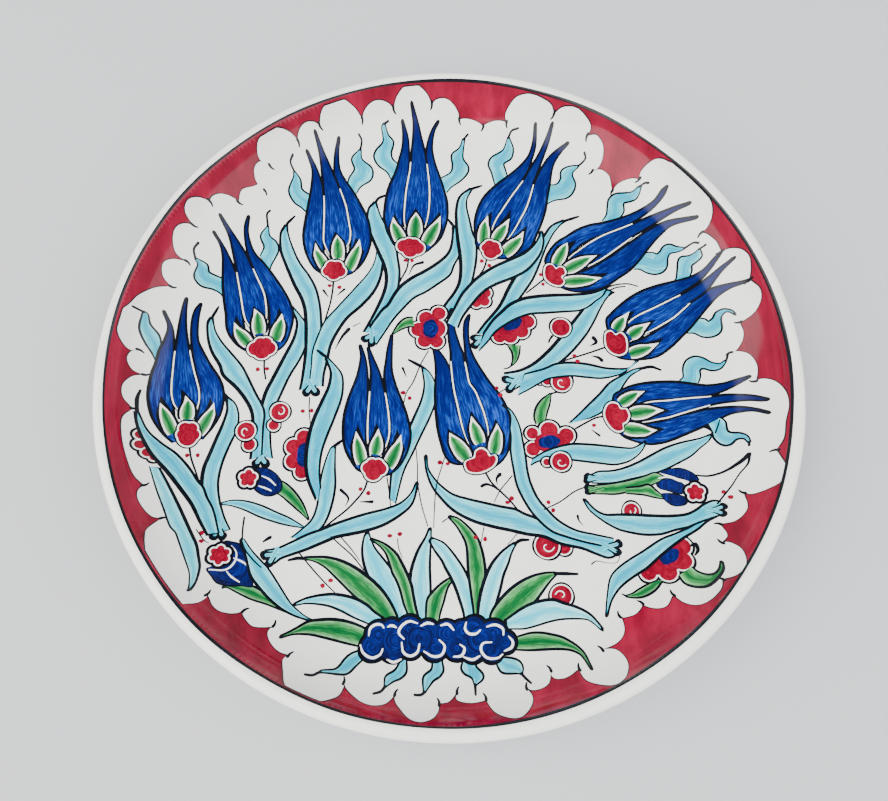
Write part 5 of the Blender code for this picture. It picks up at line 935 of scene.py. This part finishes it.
def noise(t, vector, scale, detail=3.0, rough=0.55):
    n = t.nodes.new("ShaderNodeTexNoise")
    n.inputs["Scale"].default_value = scale
    n.inputs["Detail"].default_value = detail
    n.inputs["Roughness"].default_value = rough
    t.links.new(vector, n.inputs["Vector"])
    return n.outputs[0]


def ramp(t, fac, *stops):
    n = t.nodes.new("ShaderNodeValToRGB")
    n.color_ramp.elements[0].position, n.color_ramp.elements[0].color = stops[0]
    n.color_ramp.elements[1].position, n.color_ramp.elements[1].color = stops[-1]
    for p, c in stops[1:-1]:
        el = n.color_ramp.elements.new(p)
        el.color = c
    t.links.new(fac, n.inputs[0])
    return n.outputs[0]


def grey(v):
    return (v, v, v, 1.0)


def glaze_coat(t, bsdf, objc, rough=(0.07, 0.15), bump=None, depth=0.02):
    """The clear glaze over everything: glossy, with faint waves."""
    wave = noise(t, objc, 55.0, 2.0)
    bsdf.inputs["Roughness"].default_value = 0.3
    t.links.new(ramp(t, wave, (0.3, grey(rough[0])), (0.75, grey(rough[1]))), bsdf.inputs["Roughness"])
    bsdf.inputs["IOR"].default_value = 1.5
    bsdf.inputs["Specular IOR Level"].default_value = 0.24
    slow = noise(t, objc, 38.0, 1.5)
    b = t.nodes.new("ShaderNodeBump")
    b.inputs["Strength"].default_value = 0.10
    b.inputs["Distance"].default_value = 0.0006
    height = slow if bump is None else math_node(t, "MULTIPLY_ADD", bump, depth, slow)
    t.links.new(height, b.inputs["Height"])
    t.links.new(b.outputs[0], bsdf.inputs["Normal"])


def paint(name, deep, base, light, edge, streak=1.0, edge_gain=0.35, tone=None, centre=None, pool=0.5, stretch=0.16):
    """A brushed colour: deep and light run as streaks along the stroke, edge at its rim, and tone along its length."""
    m, t, bsdf = nodes_of(name)
    uv = t.nodes.new("ShaderNodeUVMap")
    uv.uv_map = "brush"
    sep = t.nodes.new("ShaderNodeSeparateXYZ")
    t.links.new(uv.outputs[0], sep.inputs[0])
    obj = t.nodes.new("ShaderNodeTexCoord").outputs["Object"]
    attr = t.nodes.new("ShaderNodeAttribute")
    attr.attribute_name = "tone"
    seed = t.nodes.new("ShaderNodeAttribute")
    seed.attribute_name = "seed"
    comb = t.nodes.new("ShaderNodeCombineXYZ")
    t.links.new(math_node(t, "MULTIPLY", sep.outputs[0], stretch), comb.inputs[0])
    t.links.new(math_node(t, "MULTIPLY", sep.outputs[1], 4.2), comb.inputs[1])
    t.links.new(seed.outputs["Fac"], comb.inputs[2])
    fine = noise(t, comb.outputs[0], 1.7, 5.0, 0.62)
    broad = noise(t, obj, 62.0, 2.5)
    mixed = math_node(t, "ADD", math_node(t, "MULTIPLY", fine, 0.76), math_node(t, "MULTIPLY", broad, 0.24))
    colour = ramp(t, mixed, (0.36, deep), (0.50, base), (0.62, light))
    colour = mix(t, 1.0 - streak, colour, base)
    if tone is not None:
        colour = mix(t, ramp(t, attr.outputs["Fac"], *tone[1]), colour, tone[0])
    across = math_node(t, "ABSOLUTE", sep.outputs[1])
    if centre is not None:
        mid = ramp(t, across, (0.0, grey(1.0)), (0.55, grey(0.0)))
        wander = ramp(t, fine, (0.38, grey(0.35)), (0.62, grey(1.0)))
        colour = mix(t, math_node(t, "MULTIPLY", mid, wander), colour, centre)
    rim = math_node(t, "POWER", across, 3.2)
    jitter = math_node(t, "MULTIPLY", rim, ramp(t, noise(t, obj, 150.0, 2.0), (0.35, grey(0.4)), (0.65, grey(1.0))))
    colour = mix(t, math_node(t, "MULTIPLY", jitter, edge_gain, clamp=True), colour, edge)
    t.links.new(colour, bsdf.inputs["Base Color"])
    glaze_coat(t, bsdf, obj, bump=fine, depth=0.35)
    return m


MAT = {
    "cobalt": paint("cobalt_paint", srgb(2, 10, 72), srgb(5, 28, 112), srgb(36, 84, 176), srgb(2, 10, 74), 1.0, 0.6,
                    tone=(srgb(2, 8, 78), ((0.30, grey(0.0)), (0.60, grey(0.55)), (0.95, grey(1.0)))), stretch=0.09),
    "rock": paint("cobalt_wash_paint", srgb(3, 6, 42), srgb(6, 14, 76), srgb(14, 34, 128), srgb(3, 6, 38), 1.0, 0.4),
    "turq": paint("turquoise_paint", srgb(0, 142, 172), srgb(30, 180, 200), srgb(120, 222, 230), srgb(170, 236, 240), 1.0, 0.8,
                  centre=srgb(0, 146, 184), stretch=0.07),
    "pale": paint("pale_turquoise_paint", srgb(16, 178, 204), srgb(80, 206, 220), srgb(174, 238, 242), srgb(200, 243, 246), 1.0, 0.85,
                  centre=srgb(16, 178, 208), stretch=0.07),
    "green": paint("green_paint", srgb(0, 76, 36), srgb(12, 106, 50), srgb(72, 168, 88), srgb(160, 218, 160), 1.0, 0.8,
                   centre=srgb(0, 74, 36), stretch=0.12),
    "red": paint("coral_red_paint", srgb(98, 0, 22), srgb(130, 2, 34), srgb(154, 12, 46), srgb(96, 0, 24), 1.0, 0.35, stretch=0.3),
    "border": paint("border_red_paint", srgb(100, 0, 26), srgb(128, 2, 38), srgb(150, 10, 50), srgb(122, 2, 34), 1.0, 0.0, stretch=0.05),
    "line": paint("black_paint", srgb(2, 4, 10), srgb(5, 8, 16), srgb(12, 18, 30), srgb(5, 8, 16), 0.9, 0.0, stretch=0.2),
    "white": paint("white_slip", srgb(238, 238, 233), srgb(242, 242, 237), srgb(245, 245, 241), srgb(242, 242, 237), 0.9, 0.0, stretch=0.02),
}


def mesh_object(name, co, faces, normals_at=None, uv=None, floats=None, material=None):
    mesh = bpy.data.meshes.new(name)
    mesh.from_pydata([tuple(p) for p in co], [], [tuple(int(i) for i in f) for f in faces])
    mesh.update()
    mesh.polygons.foreach_set("use_smooth", [True] * len(mesh.polygons))
    if uv is not None:
        layer = mesh.uv_layers.new(name="brush")
        layer.data.foreach_set("uv", np.asarray(uv, np.float32).ravel())
    for key, values in (floats or {}).items():
        a = mesh.attributes.new(key, "FLOAT", "CORNER")
        a.data.foreach_set("value", np.asarray(values, np.float32).ravel())
    if normals_at is not None:
        mesh.normals_split_custom_set_from_vertices([tuple(n) for n in normals_at])
    obj = bpy.data.objects.new(name, mesh)
    bpy.context.scene.collection.objects.link(obj)
    if material:
        mesh.materials.append(material)
    return obj


radius = np.linalg.norm(points, axis=1)
z, slope = face_z(np.minimum(radius, CREST))
unit = points / np.maximum(radius, 1e-6)[:, None]
nrm = np.stack([-slope * unit[:, 0], -slope * unit[:, 1], np.ones_like(slope)], axis=1)
nrm /= np.linalg.norm(nrm, axis=1)[:, None]
space = np.stack([points[:, 0], points[:, 1], z], axis=1)
group = np.array([list(PIECES).index(e["piece"]) for e in ELEMENTS])
names = list(PIECES)
made = []
for g, name in enumerate(names):
    mine = np.flatnonzero(group[owner] == g)
    if not len(mine):
        print("no faces:", name)
        continue
    f = tris[mine]
    own = owner[mine]
    uv = np.zeros((len(f), 3, 2))
    tone = np.zeros((len(f), 3))
    seed = np.zeros((len(f), 3))
    for index in np.unique(own):
        sel = np.flatnonzero(own == index)
        pts = points[f[sel]].reshape(-1, 2)
        u, v, s = brush(ELEMENTS[index], pts)
        uv[sel] = np.stack([u, v], axis=1).reshape(-1, 3, 2)
        tone[sel] = s.reshape(-1, 3)
        seed[sel] = ELEMENTS[index]["seed"]
    used, inv = np.unique(f, return_inverse=True)
    f2 = inv.reshape(-1, 3)
    material, cad = PIECES[name]
    obj = mesh_object(name, space[used] * MM, f2, nrm[used], uv.reshape(-1, 2), {"tone": tone, "seed": seed}, MAT[material])
    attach(obj, "root")
    if cad:
        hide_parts(*sorted(cad))
    made.append((name, len(f)))
print("painted pieces", len(made), "triangles", sum(n for _, n in made))


# ---------------------------------------------------------------- lip, back and foot
def turned(name, profile, material, smooth_angles=None, steps=256):
    """A surface of revolution through (r, z) points in mm, with its normals from the profile. The material side is on the right of the way along the profile."""
    prof = np.array(profile, float)
    seg = np.diff(prof, axis=0)
    segn = np.stack([seg[:, 1], -seg[:, 0]], axis=1)
    segn /= np.linalg.norm(segn, axis=1)[:, None] + 1e-12
    vn = np.zeros_like(prof)
    vn[:-1] += segn
    vn[1:] += segn
    vn /= np.linalg.norm(vn, axis=1)[:, None] + 1e-12
    a = np.linspace(0, 2 * math.pi, steps, endpoint=False)
    co, no, faces, uvs = [], [], [], []
    for (r, zz), (nr, nz) in zip(prof, vn):
        for k in a:
            co.append((r * math.cos(k) * MM, r * math.sin(k) * MM, zz * MM))
            no.append((nr * math.cos(k), nr * math.sin(k), nz))
    length = np.concatenate([[0], np.cumsum(np.linalg.norm(seg, axis=1))])
    for i in range(len(prof) - 1):
        for k in range(steps):
            k2 = (k + 1) % steps
            quad = (i * steps + k, (i + 1) * steps + k, (i + 1) * steps + k2, i * steps + k2)
            faces.append(quad)
            th0, th1 = a[k], a[k] + 2 * math.pi / steps
            for (ii, th) in ((i, th0), (i + 1, th0), (i + 1, th1), (i, th1)):
                uvs.append((th * 120, length[ii] * 0.05))
    n0 = np.cross(np.array(co[faces[0][1]]) - np.array(co[faces[0][0]]), np.array(co[faces[0][2]]) - np.array(co[faces[0][0]]))
    if np.dot(n0, no[faces[0][0]]) < 0:
        faces = [f[::-1] for f in faces]
        uvs = [uvs[4 * i + j] for i in range(len(faces)) for j in (3, 2, 1, 0)]
    # custom normals are set only where the profile stays off the axis
    obj = mesh_object(name, co, faces, None, uvs, {"tone": np.zeros(len(uvs)), "seed": np.full(len(uvs), 5.0)}, material)
    mesh = obj.data
    if prof[:, 0].min() > 0.01:
        mesh.normals_split_custom_set_from_vertices(no)
    return obj


def arc(c, r, a0, a1, n):
    """Points on a circle about c, angles in degrees from +r towards +z."""
    t = np.radians(np.linspace(a0, a1, n))
    return [(c[0] + r * math.cos(x), c[1] + r * math.sin(x)) for x in t]


lip_profile = arc(LIP_C, LIP_R, 90, -30, 22)
BACK_R = 41.8
back_arc = []
for k in np.linspace(53.5, 0, 26):
    k = math.radians(k)
    back_arc.append((ARC_C[0] + BACK_R * math.sin(k), ARC_C[1] - BACK_R * math.cos(k)))
# the lip's underside runs into the back
lip_profile = [p for p in lip_profile if p[1] > back_arc[0][1] + 0.3] + [((lip_profile[-1][0] + back_arc[0][0]) / 2 + 0.2, (lip_profile[-1][1] + back_arc[0][1]) / 2)]
m_back, t_back, b_back = nodes_of("back_glaze")
obj_c = t_back.nodes.new("ShaderNodeTexCoord").outputs["Object"]
base_c = ramp(t_back, noise(t_back, obj_c, 28.0, 4.0), (0.35, srgb(232, 231, 224)), (0.65, srgb(244, 243, 238)))
specks = ramp(t_back, noise(t_back, obj_c, 420.0, 2.0), (0.70, grey(0.0)), (0.76, grey(0.55)))
t_back.links.new(mix(t_back, specks, base_c, srgb(176, 160, 136)), b_back.inputs["Base Color"])
glaze_coat(t_back, b_back, obj_c, (0.10, 0.22))

m_bisc, t_bisc, b_bisc = nodes_of("bare_biscuit")
obj_b = t_bisc.nodes.new("ShaderNodeTexCoord").outputs["Object"]
grain = noise(t_bisc, obj_b, 900.0, 4.0)
cloudy = noise(t_bisc, obj_b, 60.0, 3.0)
body_c = ramp(t_bisc, cloudy, (0.35, srgb(196, 172, 142)), (0.65, srgb(216, 196, 168)))
t_bisc.links.new(mix(t_bisc, ramp(t_bisc, grain, (0.45, grey(0.0)), (0.75, grey(0.6))), body_c, srgb(168, 142, 112)), b_bisc.inputs["Base Color"])
t_bisc.links.new(ramp(t_bisc, grain, (0.3, grey(0.7)), (0.7, grey(0.95))), b_bisc.inputs["Roughness"])
bump_b = t_bisc.nodes.new("ShaderNodeBump")
bump_b.inputs["Strength"].default_value = 0.35
bump_b.inputs["Distance"].default_value = 0.0003
t_bisc.links.new(grain, bump_b.inputs["Height"])
t_bisc.links.new(bump_b.outputs[0], b_bisc.inputs["Normal"])

lip = turned("lip_glaze", lip_profile + [back_arc[0]], MAT["white"])
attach(lip, "root")
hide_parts("clear_glaze_face")
outer = back_arc + [(100.0, 3.0), (91.6, 3.0)] + arc((91.6, 2.0), 1.0, 90, 90, 1) + [(90.4, 2.85), (89.6, 2.4), (89.2, 1.8), (89.0, 1.2)]
outer_o = turned("back_glaze_wall", outer, m_back)
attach(outer_o, "root")
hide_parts("back_glaze_outer")
foot = turned("foot_ring_bare", [(89.0, 1.2), (89.0, 0.8), (88.77, 0.23), (88.2, 0.0), (84.8, 0.0), (84.23, 0.23), (84.0, 0.8), (84.0, 1.2)], m_bisc)
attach(foot, "root")
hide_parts("biscuit_body")
inner = turned("back_glaze_base", [(84.0, 1.2), (83.8, 1.8), (83.4, 2.4), (82.6, 2.85), (81.6, 3.0), (70, 3.0), (55, 3.0), (40, 3.0), (25, 3.0), (10, 3.0), (0.02, 3.0)], m_back)
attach(inner, "root")
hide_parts("back_glaze_centre")

# ---------------------------------------------------------------- stage, light and camera
bpy.ops.mesh.primitive_plane_add(size=40, location=(0, 0, -0.0003))
floor = bpy.context.object
floor.name = "floor"
m_floor, t_floor, b_floor = nodes_of("floor_plain")
b_floor.inputs["Base Color"].default_value = srgb(188, 190, 193)
b_floor.inputs["Roughness"].default_value = 0.85
floor.data.materials.append(m_floor)

world = bpy.data.worlds.new("studio")
bpy.context.scene.world = world
world.use_nodes = True
wt = world.node_tree
bg = wt.nodes["Background"]
# a pale dome, dimmer overhead so that the flat of the dish doesn't mirror it
geo = wt.nodes.new("ShaderNodeTexCoord")
toward = wt.nodes.new("ShaderNodeVectorMath")
toward.operation = "DOT_PRODUCT"
wt.links.new(geo.outputs["Generated"], toward.inputs[0])
toward.inputs[1].default_value = (0.0, 0.326, 0.945)
wt.links.new(ramp(wt, toward.outputs["Value"], (0.55, (1.0, 1.0, 1.0, 1.0)), (0.93, (0.34, 0.345, 0.35, 1.0))), bg.inputs[0])
bg.inputs[1].default_value = 1.15


def area(name, loc, target, size, power, colour=(1, 1, 1)):
    lamp = bpy.data.lights.new(name, "AREA")
    lamp.shape, lamp.size, lamp.size_y = "RECTANGLE", size[0], size[1]
    lamp.energy, lamp.color = power, colour
    o = bpy.data.objects.new(name, lamp)
    bpy.context.scene.collection.objects.link(o)
    o.location = loc
    o.rotation_mode = "QUATERNION"
    o.rotation_quaternion = (Vector(target) - Vector(loc)).to_track_quat("-Z", "Y")


area("key", (-1.3, -0.45, 1.45), (0, 0, 0), (2.6, 2.0), 90.0, (1.0, 0.99, 0.97))
area("fill", (1.35, -0.4, 1.45), (0, 0, 0), (2.6, 2.0), 52.0, (0.97, 0.98, 1.0))

elev, roll, dist = math.radians(70.940), math.radians(0.997), 375.96
ce, se, cr, sr = math.cos(elev), math.sin(elev), math.cos(roll), math.sin(roll)
back = np.array([0.0, -ce, se])
right = np.array([1.0, 0.0, 0.0])
up = np.cross(back, right)
r2, u2 = right * cr + up * sr, -right * sr + up * cr
loc = (np.array([-2.186, -7.687, 0.0]) + back * dist) * MM
cam_data = bpy.data.cameras.new("camera")
cam_data.sensor_width = 36
cam_data.lens = 830 * 36 / 888
cam_data.clip_start = 0.01
cam = bpy.data.objects.new("camera", cam_data)
bpy.context.scene.collection.objects.link(cam)
cam.matrix_world = Matrix(((r2[0], u2[0], back[0], loc[0]), (r2[1], u2[1], back[1], loc[1]), (r2[2], u2[2], back[2], loc[2]), (0, 0, 0, 1)))
bpy.context.scene.camera = cam
